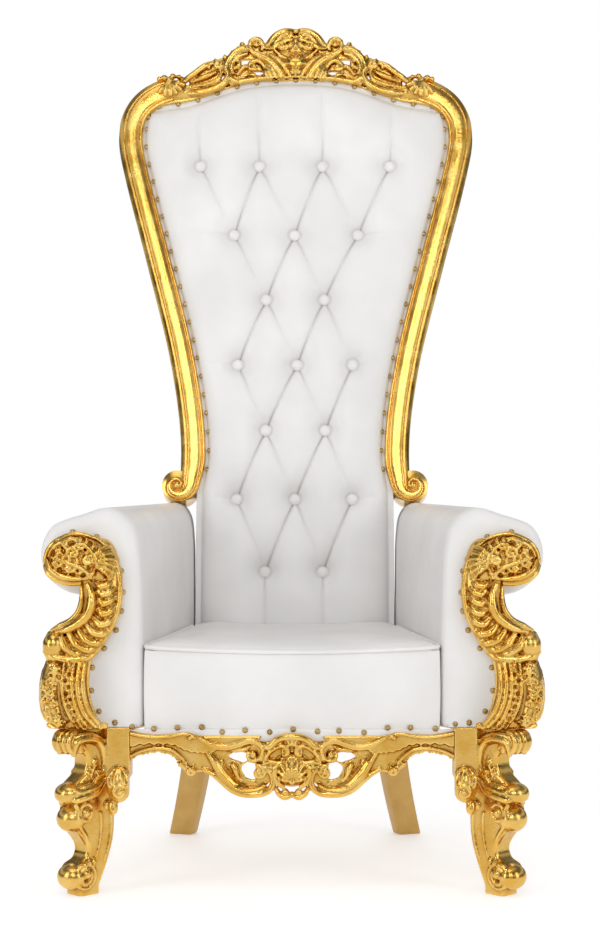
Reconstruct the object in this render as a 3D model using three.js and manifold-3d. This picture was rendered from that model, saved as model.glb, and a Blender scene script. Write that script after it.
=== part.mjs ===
// A high-backed throne armchair: carved and gilded wood with padded, buttoned white leather.
// Millimetres; x to the viewer's right, y to the rear, z up. The origin is on the floor,
// under the middle of the throne's box.
import * as THREE from 'three';
import { mergeVertices } from 'three/addons/utils/BufferGeometryUtils.js';
import Module from 'manifold-3d';

const wasm = await Module();
wasm.setup();
const { lerp, degToRad, clamp } = THREE.MathUtils;

// Driving dimensions
const touchGap = 0.3; // between faces that meet
const feetToOrigin = 408.5; // from the front feet's centres back to the origin
const railTop = 298; // top of the front and back seat rails
const railThickness = 36;
const railDepth = 62; // height of the side and back rails
const frontRailDepth = 32; // the front rail is shallower, so that the apron shows light through
const legTop = 310; // top of the front legs, where the arm facings stand
const seatFrontWidth = 560;
const seatBackWidth = 428;
const seatEdgeHeight = 452; // the welted top edge
const seatCrown = 20; // how far the seat's flat top stands above that edge
const seatFront = 14; // the seat's front face, behind the front feet's centres
const armGap = 2; // between the seat and each arm
const armHeight = 721;
const armFront = 8; // the padded arms' front face
const rollRadius = 68; // the rolled top of each arm
const armNarrowing = 0.62; // an arm's width at the back, as a share of its width in front
const facingRelief = 52; // how far the carved arm fronts stand forward
const backLean = 11.5; // degrees
const backFoot = 530; // the back's foot line, behind the front feet's centres
const padThickness = 48; // the back padding at its edge
const padCrown = 38; // how far the back padding swells
const panelThickness = 16; // the outside back
const stileWidth = 54;
const stileProud = 16; // the stiles' front face, ahead of the padding's edge
const waistHalf = 222; // middle of a stile where the back is narrowest
const waistRise = 62; // the waist above the curl at a stile's foot
const shoulderHalf = 371;
const shoulderDrop = 155; // the widest place, below the padding's top
const padTopHeight = 1395; // middle of the padding's top edge, up the slope of the back
const jointDrop = 29; // where a stile meets the crest, below the padding's top
const jointHalf = 297;
const crestRise = 124; // the crest above the padding
const voluteRadius = 36; // the curl at the foot of each stile
const voluteClear = 3; // between the curl and the top of the arm
const voluteOut = 34; // the curl's centre, outside the waist
const legSpread = 389; // a front foot's centre from the middle
const legBodyWidth = 52;
const apronHalf = 308; // the apron's ends
const apronDrop = 122; // from the seat rail's top to the apron's lowest point
const apronThickness = 20;
const rearLegSpread = 203; // a rear leg's top centre from the middle
const rearLegRake = 62; // how far a rear foot stands behind the leg's top
const rearLegSplay = 41;
const rearLegSection = { wide: 58, deep: 40, turn: 20 };
const buttonRadius = 12;
const buttonThickness = 9;
const tuftDepth = 20;

const lean = degToRad(backLean);
// Heights up the slope of the back
const voluteHeight = (armHeight - legTop) / Math.cos(lean) + voluteRadius + voluteClear;
const waistHeight = voluteHeight + waistRise;
const shoulderHeight = padTopHeight - shoulderDrop;
const jointHeight = padTopHeight - jointDrop;

const seatFrontHalf = seatFrontWidth / 2;
const seatBackHalf = seatBackWidth / 2;
const armInner = seatFrontHalf + armGap;
const armInnerBack = seatBackHalf + armGap;
const railFront = seatFront;
const blockRear = legBodyWidth + 16; // rear face of a front leg's block
const railRear = backFoot + 18;
const gold = { color: 0xd9a336, roughness: 0.28, metalness: 0.9 };
const paintedGold = { color: 0xb08a45, roughness: 0.45, metalness: 0.6 };
const leather = { color: 0xf2efea, roughness: 0.42, metalness: 0 };

// Solids
function toSolid(geometry) {
  const bare = geometry.index ? geometry.toNonIndexed() : geometry.clone();
  bare.deleteAttribute('normal');
  bare.deleteAttribute('uv');
  const merged = mergeVertices(bare, 1e-3);
  const vertProperties = new Float32Array(merged.attributes.position.array);
  const triVerts = new Uint32Array(merged.index.array);
  return new wasm.Manifold(new wasm.Mesh({ numProp: 3, vertProperties, triVerts }));
}

function join(geometries) {
  return geometries.map(toSolid).reduce((whole, next) => whole.add(next));
}

function cut(solid, geometries) {
  return geometries.map(toSolid).reduce((rest, next) => rest.subtract(next), solid);
}

// What lies inside a box between two corners.
function keepWithin(solid, low, high) {
  return solid.intersect(toSolid(boxBetween(low, high)));
}

function boxBetween(low, high) {
  const size = high.map((end, i) => end - low[i]);
  const middle = high.map((end, i) => (end + low[i]) / 2);
  return new THREE.BoxGeometry(...size).translate(...middle);
}

// Moves every vertex of a geometry with a function of its own place.
function reshape(geometry, place) {
  const at = geometry.attributes.position;
  const v = new THREE.Vector3();
  for (let i = 0; i < at.count; i += 1) {
    v.fromBufferAttribute(at, i);
    place(v);
    at.setXYZ(i, v.x, v.y, v.z);
  }
  return geometry;
}

function meshOf(name, solid, look) {
  const { numProp, numVert, vertProperties, triVerts } = solid.getMesh();
  const positions = new Float32Array(numVert * 3);
  for (let i = 0; i < numVert; i += 1) {
    positions.set(vertProperties.subarray(i * numProp, i * numProp + 3), i * 3);
  }
  const geometry = new THREE.BufferGeometry();
  geometry.setAttribute('position', new THREE.BufferAttribute(positions, 3));
  geometry.setIndex(new THREE.BufferAttribute(new Uint32Array(triVerts), 1));
  geometry.computeVertexNormals();
  const mesh = new THREE.Mesh(geometry, new THREE.MeshStandardMaterial(look));
  mesh.name = name;
  return mesh;
}

// A value read off a list of evenly spaced ones.
function sample(values, t) {
  const place = clamp(t, 0, 1) * (values.length - 1);
  const low = Math.min(Math.floor(place), values.length - 2);
  return lerp(values[low], values[low + 1], place - low);
}

// Carving. Every stroke lies in an upright plane facing the front: points are [x, z].
function pathThrough(points) {
  const places = points.map(([x, z]) => new THREE.Vector3(x, 0, z));
  return new THREE.CatmullRomCurve3(places, false, 'centripetal');
}

function spiral(x, z, radius, from, sweep, inner = 0.3) {
  const count = Math.ceil(Math.abs(sweep) / 65);
  return Array.from({ length: count + 1 }, (_, i) => {
    const share = i / count;
    const angle = degToRad(from + sweep * share);
    const reach = radius * lerp(1, inner, share);
    return [x + reach * Math.cos(angle), z + reach * Math.sin(angle)];
  });
}

// A ridged, flat-backed bar along the points. widths and depths are half-sizes, spread along its length.
function stroke(points, widths, depths, { y = 0, steps = Math.max(2, points.length - 2), sides = 3 } = {}) {
  const path = pathThrough(points);
  const straight = new THREE.CylinderGeometry(1, 1, 1, sides, steps);
  return reshape(straight, (v) => {
    const t = clamp(v.y + 0.5, 0, 1);
    const centre = path.getPointAt(t);
    const along = path.getTangentAt(t);
    const across = v.x * sample(widths, t);
    v.set(centre.x + along.z * across, y - v.z * sample(depths, t), centre.z - along.x * across);
  });
}

// A ball or disc with its pole to the front.
function pearl(x, z, radius, { y = 0, tall = radius, deep = radius, sides = 6, rings = 3 } = {}) {
  return new THREE.SphereGeometry(1, sides, rings).scale(radius, deep, tall).translate(x, y, z);
}

// Lobes that spread from one root, as in a shell or a leaf.
function fan(x, z, facing, spread, count, length, width, options) {
  return Array.from({ length: count }, (_, i) => {
    const angle = degToRad(facing + spread * (i / (count - 1) - 0.5));
    const tip = [x + length * Math.cos(angle), z + length * Math.sin(angle)];
    return stroke([[x, z], tip], [width * 0.4, width, width * 0.6], [width * 0.8, width, width * 0.7],
      { steps: 2, ...options });
  });
}

// A length of moulding: a flat profile of [across, depth] points bent along a path. spacing
// crowds the steps where the path turns most.
function moulding(profile, path, { widthAt, steps, spacing }, grow = 0) {
  const outline = new THREE.Shape(profile.map(([a, b]) => new THREE.Vector2(a, b)));
  const straight = new THREE.ExtrudeGeometry(outline, { depth: 1, steps, bevelEnabled: false });
  return reshape(straight, (v) => {
    const t = spacing(clamp(v.z, 0, 1));
    const centre = path.getPointAt(t);
    const along = path.getTangentAt(t);
    const across = v.x * (widthAt(t) + 2 * grow);
    v.set(centre.x + along.z * across, v.y, centre.z - along.x * across);
  });
}

// A flat board with its outline of [x, z] points facing the front.
function board(outline, front, thickness) {
  const shape = new THREE.Shape(outline.map(([x, z]) => new THREE.Vector2(x, z)));
  const flat = new THREE.ExtrudeGeometry(shape, { depth: thickness, bevelEnabled: false });
  return flat.rotateX(Math.PI / 2).translate(0, front + thickness, 0);
}

function arc(x, z, radius, from, to, count) {
  return Array.from({ length: count + 1 }, (_, i) => {
    const angle = degToRad(lerp(from, to, i / count));
    return [x + radius * Math.cos(angle), z + radius * Math.sin(angle)];
  });
}

// Where the inner face of an arm stands, and how much narrower the arm is, at a depth.
function armShare(y) {
  return clamp((y - armFront) / (backFoot + padCrown - armFront), 0, 1);
}

function narrowed(x, y) {
  const share = armShare(y);
  return lerp(armInner, armInnerBack, share) + (x - armInner) * lerp(1, armNarrowing, share);
}

// Depth of the outside back at a height, so that the arms end in line with it.
function outsideBack(z) {
  return backFoot + (padThickness + panelThickness) / Math.cos(lean) + (z - legTop) * Math.tan(lean);
}

function armPad() {
  const rollX = armInner + 128;
  const rollZ = armHeight - 93;
  const foot = legTop + touchGap;
  const shape = new THREE.Shape([
    [armInner, foot], [armInner + 173, foot], [armInner + 182, legTop + 75],
    [armInner + 172, legTop + 130], [armInner + 134, legTop + 190],
    [armInner + 116, rollZ - rollRadius - 14],
    ...arc(rollX, rollZ, rollRadius, -80, 80, 6),
    [armInner + 102, armHeight - 9], [armInner + 73, armHeight], [armInner + 40, armHeight - 8],
    [armInner + 15, armHeight - 34], [armInner + 5, armHeight - 80],
  ].map(([x, z]) => new THREE.Vector2(x, z)));
  const straight = new THREE.ExtrudeGeometry(shape, { depth: 1, steps: 4, bevelEnabled: false });
  const pad = toSolid(reshape(straight, (v) => {
    const y = lerp(armFront, outsideBack(v.y), 1 - v.z);
    v.set(narrowed(v.x, y), y, v.y);
  }));
  return cut(pad, [onSlope(voluteDisc(1, touchGap))]);
}

// The carved S on the front of an arm, with its head, collar and block.
function armFacing() {
  const rise = (armHeight - legTop) / 411;
  const at = (x, z) => [armInner + x, legTop + z * rise];
  const back = armFront - touchGap;
  const middle = back - facingRelief / 2;
  const head = at(116, 316);
  const foot = [at(134, 148), at(142, 96), at(141, 50), at(120, -10)];
  const stem = [at(62, 340), at(76, 290), at(79, 240), at(90, 203), at(116, 172), at(142, 156)];
  const parts = [
    pearl(...head, 60, { y: back, tall: 50, deep: 30, sides: 9, rings: 4 }),
    stroke(stem, [20, 34, 38, 38, 38, 34], [24, 32, 34, 34, 34, 32], { y: back - 4, sides: 5, steps: 5 }),
    stroke([...stem.slice(0, 2).reverse(), ...spiral(...head, 50, 160, -400)],
      [13, 17, 17, 15, 12, 8], [14, 16, 17, 17, 14, 10], { y: middle + 6, steps: 8 }),
    pearl(...head, 14, { y: middle - 6, deep: 16 }),
    stroke([at(84, 138), at(124, 141), at(158, 150), at(176, 164)], [14, 19, 23, 15], [26, 34, 34, 20],
      { y: back - 4, sides: 5, steps: 3 }),
    stroke(foot, [44, 47, 47, 46], [28, 30, 32, 32], { y: back - 2, sides: 5, steps: 3 }),
  ];
  // Overlapping husks down the stem
  const stemPath = pathThrough(stem);
  const huskCount = 4;
  for (let i = 0; i < huskCount; i += 1) {
    const t = lerp(0.3, 0.93, i / (huskCount - 1));
    const centre = stemPath.getPointAt(t);
    const along = stemPath.getTangentAt(t);
    const reach = lerp(20, 30, i / (huskCount - 1));
    const tip = (side, lift) => [
      centre.x + along.z * reach * side - along.x * lift,
      centre.z - along.x * reach * side - along.z * lift,
    ];
    parts.push(stroke([tip(-1, 14), tip(0, -8), tip(1, 14)], [3, 6, 3], [7, 13, 7],
      { y: back - facingRelief * 0.6, steps: 2 }));
  }
  // Flutes down the block, the small curl at its foot, and bosses on its outer side
  for (const offset of [-34, -18, -2]) {
    const flute = [at(130 + offset, 142), at(135 + offset, 90), at(122 + offset, 28)];
    parts.push(stroke(flute, [5, 6, 4], [12, 14, 9], { y: middle + 2, steps: 2 }));
  }
  parts.push(stroke([at(98, 24), ...spiral(...at(56, 18), 15, 60, 330)], [7, 7, 4], [12, 12, 9],
    { y: middle + 8, steps: 5 }));
  for (const lift of [34, 72, 106]) {
    parts.push(pearl(...at(172, lift), 12, { y: middle + 6, tall: 15, sides: 5 }));
  }
  return keepWithin(join(parts), [armInner, -200, legTop + touchGap], [600, back, 900]);
}

// A front leg. Its body is cut in a plane that faces outwards across the corner.
function frontLeg() {
  const half = legBodyWidth / 2;
  const profile = [
    ...arc(16, 38, 26, -110, 110, 4),
    [0, 86], [10, 108], [36, 134], [44, 150], [38, 168], [47, 190], [34, 212], [8, 230],
    ...arc(28, 283, 24, -130, 80, 3),
    [-50, 310], [-60, 235], [-60, 168], [-54, 138], [-46, 98], [-36, 66], [-22, 36], [-12, 14],
  ];
  const corner = [board(profile, -half, legBodyWidth), boxBetween([-17, -17, -8], [17, 17, 30])];
  for (const side of [-1, 1]) {
    const y = side * half;
    // Volutes at the foot, under the knee and at the top
    for (const [r, z, radius] of [[14, 38, 20], [20, 148, 17], [28, 283, 19]]) {
      corner.push(pearl(r, z, radius, { y, deep: 8, sides: 6 }));
    }
    // The acanthus that wraps the knee, and the long flute down the shaft
    corner.push(stroke([[-20, 262], [-24, 226], [-4, 200], [24, 186], [46, 190]], [8, 14, 17, 16, 9],
      [8, 12, 15, 15, 9], { y, steps: 4 }));
    corner.push(stroke([[-8, 132], [-18, 104], [-12, 72]], [6, 6, 3], [6, 6, 4], { y, steps: 2 }));
  }
  // The rolls of the scrolls, bulging outwards between their volutes
  for (const [r, z, tall] of [[30, 38, 22], [36, 152, 18], [38, 192, 20], [38, 284, 22]]) {
    corner.push(pearl(r, z, 15, { deep: half + 4, tall, sides: 6, rings: 3 }));
  }
  const parts = corner.map((piece) => piece.rotateZ(degToRad(-45)).translate(legSpread, 0, 0));
  // The corner block, with plain faces towards the apron and the side rail
  parts.push(boxBetween([apronHalf - 8, -16, 214], [legSpread + 16, blockRear, 310]));
  // A leafy scroll turned to each side
  for (const [x, y, turn] of [[-66, -8, 0], [8, 66, -90]]) {
    const ear = [
      pearl(0, 208, 19, { tall: 36, deep: 22, sides: 6 }),
      pearl(1, 203, 11, { y: -18, deep: 8, sides: 5 }),
      pearl(8, 176, 11, { tall: 15, deep: 12, sides: 5 }),
    ];
    parts.push(...ear.map((piece) => piece.rotateZ(degToRad(turn)).translate(legSpread + x, y, 0)));
  }
  const rise = legTop / 310;
  parts.forEach((piece) => piece.scale(1, 1, rise));
  return keepWithin(join(parts), [apronHalf - 4, -200, 0], [600, blockRear, legTop]);
}

// The front apron, pierced and carved, hung in front of the seat rail.
function apron() {
  const across = apronHalf / 308;
  const down = apronDrop / 120;
  const at = (x, z) => [x * across, railTop - (298 - z) * down];
  const back = seatFront - touchGap;
  const y = back - apronThickness / 2;
  const end = apronHalf / across;
  const parts = [];
  for (const side of [-1, 1]) {
    const p = (x, z) => at(side * x, z);
    const plate = [[end, 307], [265, 300], [228, 301], [176, 300], [176, 232], [196, 226], [219, 245],
      [237, 256], [256, 259], [280, 254], [end, 240]].map(([x, z]) => p(x, z));
    // Webs behind the scrolls leave an almond and a round opening
    const upperWeb = [[184, 294], [128, 251], [105, 266], [87, 262], [72, 272], [56, 294]];
    const lowerWeb = [[180, 284], [122, 256], [108, 249], [97, 246], [95, 230], [87, 216], [70, 210],
      [66, 203], [96, 199], [151, 231], [177, 261]];
    for (const sheet of [plate, ...[upperWeb, lowerWeb].map((web) => web.map(([x, z]) => p(x, z)))]) {
      parts.push(board(side > 0 ? sheet : sheet.reverse(), y - apronThickness / 2, apronThickness));
    }
    const bar = (points, widths, depths, options) => parts.push(
      stroke(points.map(([x, z]) => p(x, z)), widths, depths, { y: y - 4, ...options }));
    // The moulding under the arch
    bar([[302, 242], [256, 263], [234, 260], [200, 232]], [5, 6, 5], [11, 12, 11], { steps: 4 });
    // The long upper scroll and its curl
    bar([[202, 296], [160, 284], [118, 290], [84, 294], [62, 284], ...spiral(76, 262, 15, 40, -270)],
      [5, 8, 8, 8, 7, 5], [10, 14, 15, 15, 14, 11], { steps: 6 });
    // The great lower scroll
    bar([[182, 272], [160, 252], [140, 220], [112, 200], [74, 194], [48, 212],
      ...spiral(64, 230, 15, 10, 270)], [9, 13, 12, 12, 12, 9, 5], [11, 14, 15, 16, 15, 12, 9],
    { steps: 7 });
    bar([[96, 192], [66, 188], [32, 196]], [5, 6, 5], [10, 11, 10]);
    // The small drop scroll
    bar([[214, 240], ...spiral(192, 234, 10, 30, -270)], [5, 6, 4], [10, 12, 8], { steps: 4 });
    // The paired scrolls over the central shell, and the balls under it
    bar([[82, 292], [58, 292], [38, 280], [18, 294], [-3, 302]], [6, 8, 8, 9, 8], [12, 15, 14, 15, 14]);
    bar([[40, 252], [30, 276], ...spiral(14, 271, 9, 80, -200)], [6, 6, 4], [12, 14, 10], { steps: 4 });
    bar([[40, 206], [34, 190], ...spiral(16, 190, 12, 230, 200)], [6, 9, 6], [12, 16, 12], { steps: 4 });
    bar([[38, 246], [42, 226], [30, 206]], [5, 7, 5], [11, 14, 11]);
  }
  parts.push(pearl(...at(0, 230), 44, { y, tall: 42, deep: 18, sides: 8 }));
  parts.push(...fan(...at(0, 214), 90, 100, 3, 34, 8, { y: y - 11 }));
  parts.push(pearl(...at(0, 206), 8, { y: y - 14 }));
  parts.push(pearl(...at(0, 290), 10, { y: y - 6, deep: 14, sides: 5 }));
  const reach = apronHalf - 4 - touchGap;
  return keepWithin(join(parts), [-reach, -200, 0], [reach, back, 900]);
}

// The plain rear leg, raked to the rear and splayed.
function rearLeg() {
  const { wide, deep, turn } = rearLegSection;
  const top = railTop - railDepth - touchGap;
  const foot = 0.9;
  const shaft = new THREE.BoxGeometry(wide, deep, top, 1, 1, 4).translate(0, 0, top / 2);
  reshape(shaft, (v) => v.set(v.x * lerp(foot, 1, v.z / top), v.y * lerp(foot, 1, v.z / top), v.z));
  shaft.rotateZ(degToRad(turn));
  return toSolid(reshape(shaft, (v) => {
    const bend = (1 - v.z / top) ** 1.4;
    const y = v.y + railRear + railThickness / 2 + rearLegRake * bend;
    v.set(v.x + rearLegSpread + rearLegSplay * bend, y, v.z);
  }));
}

// A side rail runs from a front leg's block to the back rail, with a shallow arch beneath.
function sideRail() {
  const front = blockRear + touchGap;
  const rear = railRear + railThickness;
  const outer = legSpread + 44;
  const straight = new THREE.BoxGeometry(1, 1, 1, 1, 6, 1);
  return toSolid(reshape(straight, (v) => {
    const share = v.y + 0.5;
    const arch = Math.sin(Math.PI * share) * 18;
    const x = lerp(outer, railEnd(rear), share) + (v.x - 0.5) * railThickness;
    const depth = lerp(railDepth * 0.76, railDepth + 12, Math.min(share * 6, 1));
    v.set(x, lerp(front, rear, share), v.z > 0 ? legTop : legTop - depth + arch);
  }));
}

function railEnd(y) {
  return narrowed(armInner + 162, y);
}

function crossRail(half, front, depth) {
  const low = [-half, front, railTop - depth];
  return toSolid(boxBetween(low, [half, front + railThickness, railTop]));
}

function seatPad() {
  const base = railTop + touchGap;
  const roll = 0.34;
  return toSolid(reshape(new THREE.BoxGeometry(2, 2, 1, 6, 6, 2), (v) => {
    const top = v.z > 0.49;
    const inset = top ? 0.975 : 1;
    const height = lerp(base, seatEdgeHeight, v.z + 0.5);
    const rear = backFoot - padCrown - armGap + (height - legTop) * Math.tan(lean);
    const y = lerp(seatFront, rear, (v.y * inset + 1) / 2);
    const share = clamp((y - seatFront) / (backFoot - seatFront), 0, 1);
    const edge = Math.min(1, (1 - Math.max(Math.abs(v.x), Math.abs(v.y))) / roll);
    const crown = top ? seatCrown * Math.sqrt(edge * (2 - edge)) : 0;
    v.set(v.x * inset * lerp(seatFrontHalf, seatBackHalf, share), y, height + crown);
  }));
}

// The back is modelled upright, its height measured up the slope, and then leaned.
function onSlope(geometry) {
  return geometry.rotateX(-lean).translate(0, backFoot, legTop);
}

// The stile's middle line, from the crest down to the waist.
function stileLine(side) {
  const shoulder = (share, z) => [lerp(waistHalf, shoulderHalf, share), z];
  return pathThrough([
    [jointHalf - 12, jointHeight + 2],
    shoulder(0.564, jointHeight - 4),
    shoulder(0.859, jointHeight - 37),
    shoulder(0.966, shoulderHeight + 59),
    shoulder(1, shoulderHeight + 22),
    shoulder(0.89, lerp(waistHeight, shoulderHeight, 0.887)),
    shoulder(0.563, lerp(waistHeight, shoulderHeight, 0.628)),
    shoulder(0.194, lerp(waistHeight, shoulderHeight, 0.321)),
    shoulder(0.034, lerp(waistHeight, shoulderHeight, 0.119)),
    shoulder(0, waistHeight),
    shoulder(0.02, voluteHeight + 18),
  ].map(([x, z]) => [x * side, z]));
}

const stileRun = {
  steps: 15,
  spacing: (t) => t ** 1.7,
  widthAt: (t) => lerp(63, stileWidth, clamp(t * 6, 0, 1)) - 4 * clamp((t - 0.8) * 5, 0, 1),
};

const backDepth = padThickness + panelThickness;

// Across a stile from its outer edge to its inner one: bevel, groove, face and bead.
const stileProfile = [[-0.5, backDepth], [-0.5, 13 - stileProud], [-0.28, -stileProud],
  [-0.22, 4 - stileProud], [0.3, 8 - stileProud], [0.4, 5 - stileProud], [0.5, 12 - stileProud],
  [0.5, backDepth]];

const railProfile = [[-0.5, backDepth], [-0.5, 10 - stileProud], [-0.1, 2 - stileProud],
  [0.5, 10 - stileProud], [0.5, backDepth]];

// The space that a stile or the crest rail takes out of the padding, through and through.
const cutProfile = [[-0.5, 200], [-0.5, -200], [0.5, -200], [0.5, 200]];

function voluteDisc(side, grow = 0) {
  const depth = backDepth + stileProud - 6 + 2 * grow;
  const radius = voluteRadius + grow;
  const disc = new THREE.CylinderGeometry(radius, radius, depth, 12);
  return disc.translate(side * (waistHalf + voluteOut), backDepth + grow - depth / 2, voluteHeight);
}

function stile() {
  const [x, z] = [waistHalf + voluteOut, voluteHeight];
  const whole = join([
    moulding(stileProfile.map(([a, b]) => [-a, b]).reverse(), stileLine(1), stileRun),
    voluteDisc(1),
    stroke(spiral(x, z, voluteRadius - 8, 160, 470), [8, 8, 6], [8, 8, 7], { y: 6 - stileProud }),
    pearl(x, z, 10, { y: 6 - stileProud, deep: 8 }),
  ]);
  return keepWithin(whole, [0, -200, 0], [900, backDepth, 3000])
    .subtract(toSolid(boxBetween([0, -200, jointHeight - 60], [jointHalf, 200, 3000])));
}

// Half the padding's width at a height; above the arms it runs a little behind the stiles.
const padEdge = stileLine(1).getSpacedPoints(40)
  .map((p) => [p.z, p.x - stileWidth / 2 + 8])
  .reverse();

function padHalf(height) {
  const straightTo = voluteHeight - 18;
  if (height <= straightTo) return seatBackHalf;
  const edge = [[straightTo, seatBackHalf], [waistHeight, padEdge[3][1]],
    ...padEdge.filter(([z]) => z > waistHeight)];
  const next = edge.findIndex(([z]) => z >= height);
  if (next < 1) return edge[edge.length - 1][1];
  const [[lowZ, lowX], [highZ, highX]] = edge.slice(next - 1, next + 1);
  return lerp(lowX, highX, (height - lowZ) / (highZ - lowZ));
}

const cornerDrop = 68;
const cornerHalf = 318;

function padTopEdge(x) {
  const drop = [0, 1, 4, 9, 18, 31, 45, 55, 60, cornerDrop];
  return padTopHeight - sample(drop, Math.abs(x) / cornerHalf);
}

// Buttons in staggered rows, thinning out to the narrow waist: each row's share of the padding's
// height, and the distances out.
const buttonRows = [
  [0.848, [-213, -81, 60, 211]], [0.7326, [-136, -2, 139]], [0.6258, [-64, 64]],
  [0.519, [-126, 4, 126]], [0.4136, [-64, 66]], [0.3039, [-126, 0, 124]], [0.19, [-64, 60]],
];
const buttonPlaces = buttonRows.flatMap(
  ([share, places]) => places.map((x) => [x, share * padTopHeight]),
);

function padFront(x, height) {
  const edge = Math.min(padHalf(height) - Math.abs(x), padTopEdge(x) - height) / 90;
  const rise = clamp(edge, 0, 1);
  return -padCrown * Math.sqrt(rise * (2 - rise));
}

// The room left for the stiles, the crest rail and the seat's back rail.
function backSurround() {
  const belowRailTop = boxBetween([-400, -300, -300], [400, 300, railTop + touchGap - legTop])
    .rotateX(lean);
  const sides = [-1, 1].map((side) => moulding(side > 0 ? [...cutProfile].reverse() : cutProfile,
    stileLine(side), stileRun, touchGap));
  return [...sides, moulding(cutProfile, crestLine(), crestRun, touchGap), belowRailTop];
}

function backSlab(front, rear, columns, rows) {
  const foot = -14;
  return toSolid(reshape(new THREE.BoxGeometry(2, 1, 1, columns, 1, rows), (v) => {
    const share = v.z + 0.5;
    const x = v.x * padHalf(lerp(foot, padTopHeight - cornerDrop, share));
    const height = lerp(foot, padTopEdge(x) + 4, share);
    v.set(x, v.y > 0 ? rear : front(x, height), height);
  }));
}

function backPad() {
  const cuts = backSurround();
  // Creases between neighbouring buttons, and a hollow under each
  buttonPlaces.forEach(([x, z], i) => {
    buttonPlaces.slice(i + 1).forEach(([nextX, nextZ]) => {
      const fall = z - nextZ;
      if (fall < 100 || fall > 200 || Math.abs(nextX - x) > 100) return;
      const y = (padFront(x, z) + padFront(nextX, nextZ)) / 2;
      cuts.push(stroke([[x, z], [nextX, nextZ]], [5, 5], [7, 7], { y, steps: 1 }));
    });
    cuts.push(pearl(x, z, buttonRadius + 9, { y: padFront(x, z), deep: tuftDepth, sides: 5 }));
  });
  return cut(backSlab(padFront, padThickness - touchGap, 4, 8), cuts);
}

function backPanel() {
  return cut(backSlab(() => padThickness, backDepth, 2, 8), backSurround());
}

function button([x, z]) {
  const y = padFront(x, z) + tuftDepth * 0.5 - buttonThickness;
  return toSolid(pearl(x, z, buttonRadius, { y, deep: buttonThickness }));
}

// The crest rail follows the padding's top edge and thickens towards the stiles.
const crestRun = {
  steps: 10,
  spacing: (t) => t,
  widthAt: (t) => lerp(18, 60, Math.abs(2 * t - 1) ** 2.4),
};

function crestLine() {
  return pathThrough(Array.from({ length: 13 }, (_, i) => {
    const x = lerp(-1, 1, i / 12) * (jointHalf - touchGap);
    return [x, padTopEdge(x) + crestRun.widthAt(i / 12) / 2];
  }));
}

// The crest: its rail, and the pierced scrollwork above.
function crest() {
  const across = jointHalf / 297;
  const up = crestRise / 124;
  const at = (x, z) => [x * across, padTopHeight + z * up];
  const y = 12 - stileProud;
  const parts = [];
  for (const side of [-1, 1]) {
    const bar = (points, widths, depths, options) => parts.push(
      stroke(points.map(([x, z]) => at(side * x, z)), widths, depths, { y, ...options }));
    const ball = (x, z, radius, options) => parts.push(
      pearl(...at(side * x, z), radius, { y: y - 4, ...options }));
    // The hood over the flower, with its eye and the ball at its corner
    bar([[92, 74], [80, 92], [54, 106], [24, 111], ...spiral(14, 105, 8, 60, 200)],
      [6, 10, 11, 9, 6, 4], [12, 18, 19, 18, 15, 11], { steps: 5 });
    ball(89, 86, 15, { deep: 18, sides: 5 });
    // The long scroll from that ball to the foot of the shell, and its leaves
    bar([[96, 76], [104, 58], [92, 36], [66, 20], [30, 6]], [7, 10, 11, 11, 8], [15, 19, 19, 18, 14]);
    ball(88, 30, 11, { deep: 20, sides: 5 });
    for (const [root, tip] of [[26, 40], [36, 56], [48, 72]]) {
      bar([[root, 8], [lerp(root, tip, 0.5), 30], [tip, 48]], [5, 7, 4], [14, 17, 12], { steps: 2 });
    }
    // The leafy mass, its bud and the pierced ring
    bar([[98, 62], [116, 72], [136, 70], [154, 60]], [9, 9, 9, 7], [14, 17, 17, 13]);
    ball(156, 60, 9, { sides: 5 });
    bar([[152, 58], [160, 36], [148, 18], [130, 24], [126, 40], [138, 46]], [6, 7, 7, 6, 5, 4],
      [13, 15, 15, 14, 12, 10], { steps: 5 });
    bar([[66, 6], [94, 8], [120, 12], [142, 12]], [7, 7, 7], [13, 15, 13]);
    // The cove of the lower scroll, with its volute and buds
    bar([[164, 26], [160, 2], [172, -20], [208, -34], [244, -36]], [8, 11, 14, 15, 10], [14, 17, 18, 16, 12]);
    bar([[150, 30], [190, 36], [214, 22], [240, -2], [262, -20]], [7, 9, 9, 9, 9], [13, 16, 16, 15, 13]);
    ball(211, 29, 8, { sides: 5 });
    // The shell that covers the joint with the stile
    ball(284, -8, 12, { sides: 5 });
    parts.push(...fan(...at(side * 288, -8), side > 0 ? 245 : 295, 60, 2, 36, 9, { y: y - 8 }));
  }
  // The cartouche's ground
  const half = [[17, 118], [38, 112], [53, 98], [66, 78], [98, 75], [94, 62], [68, 51], [50, 33], [43, 2]];
  const ground = [...half.map(([x, z]) => at(-x, z)).reverse(), ...half.map(([x, z]) => at(x, z))];
  parts.push(board(ground, y - 4, 16));
  // The flower, the shell beneath it and the pearl on top
  parts.push(pearl(...at(0, 62), 58, { y: y + 6, tall: 48, deep: 16, sides: 9 }));
  for (let i = 0; i < 5; i += 1) {
    const angle = degToRad(90 + i * 72);
    const [x, z] = at(14 * Math.cos(angle), 74 + 14 * Math.sin(angle));
    parts.push(pearl(x, z, 8, { y: y - 9, deep: 8, sides: 5 }));
  }
  parts.push(...fan(...at(0, 10), 90, 110, 4, 34, 7, { y: y - 8 }));
  parts.push(pearl(...at(0, 110), 14, { y, sides: 5 }));
  const rail = (profile) => moulding(profile, crestLine(), crestRun);
  const underRail = rail([[0.5, 200], [0.5, -200], [1.2, -200], [1.2, 200]]);
  const whole = cut(join(parts), [underRail]).add(toSolid(rail(railProfile)));
  const end = jointHalf - touchGap;
  return keepWithin(whole, [-end, -200, 0], [end, backDepth, 3000]);
}

// Assembly
const throne = new THREE.Group();
const onFeet = new THREE.Group();
onFeet.position.y = -feetToOrigin;
throne.add(onFeet);

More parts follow.
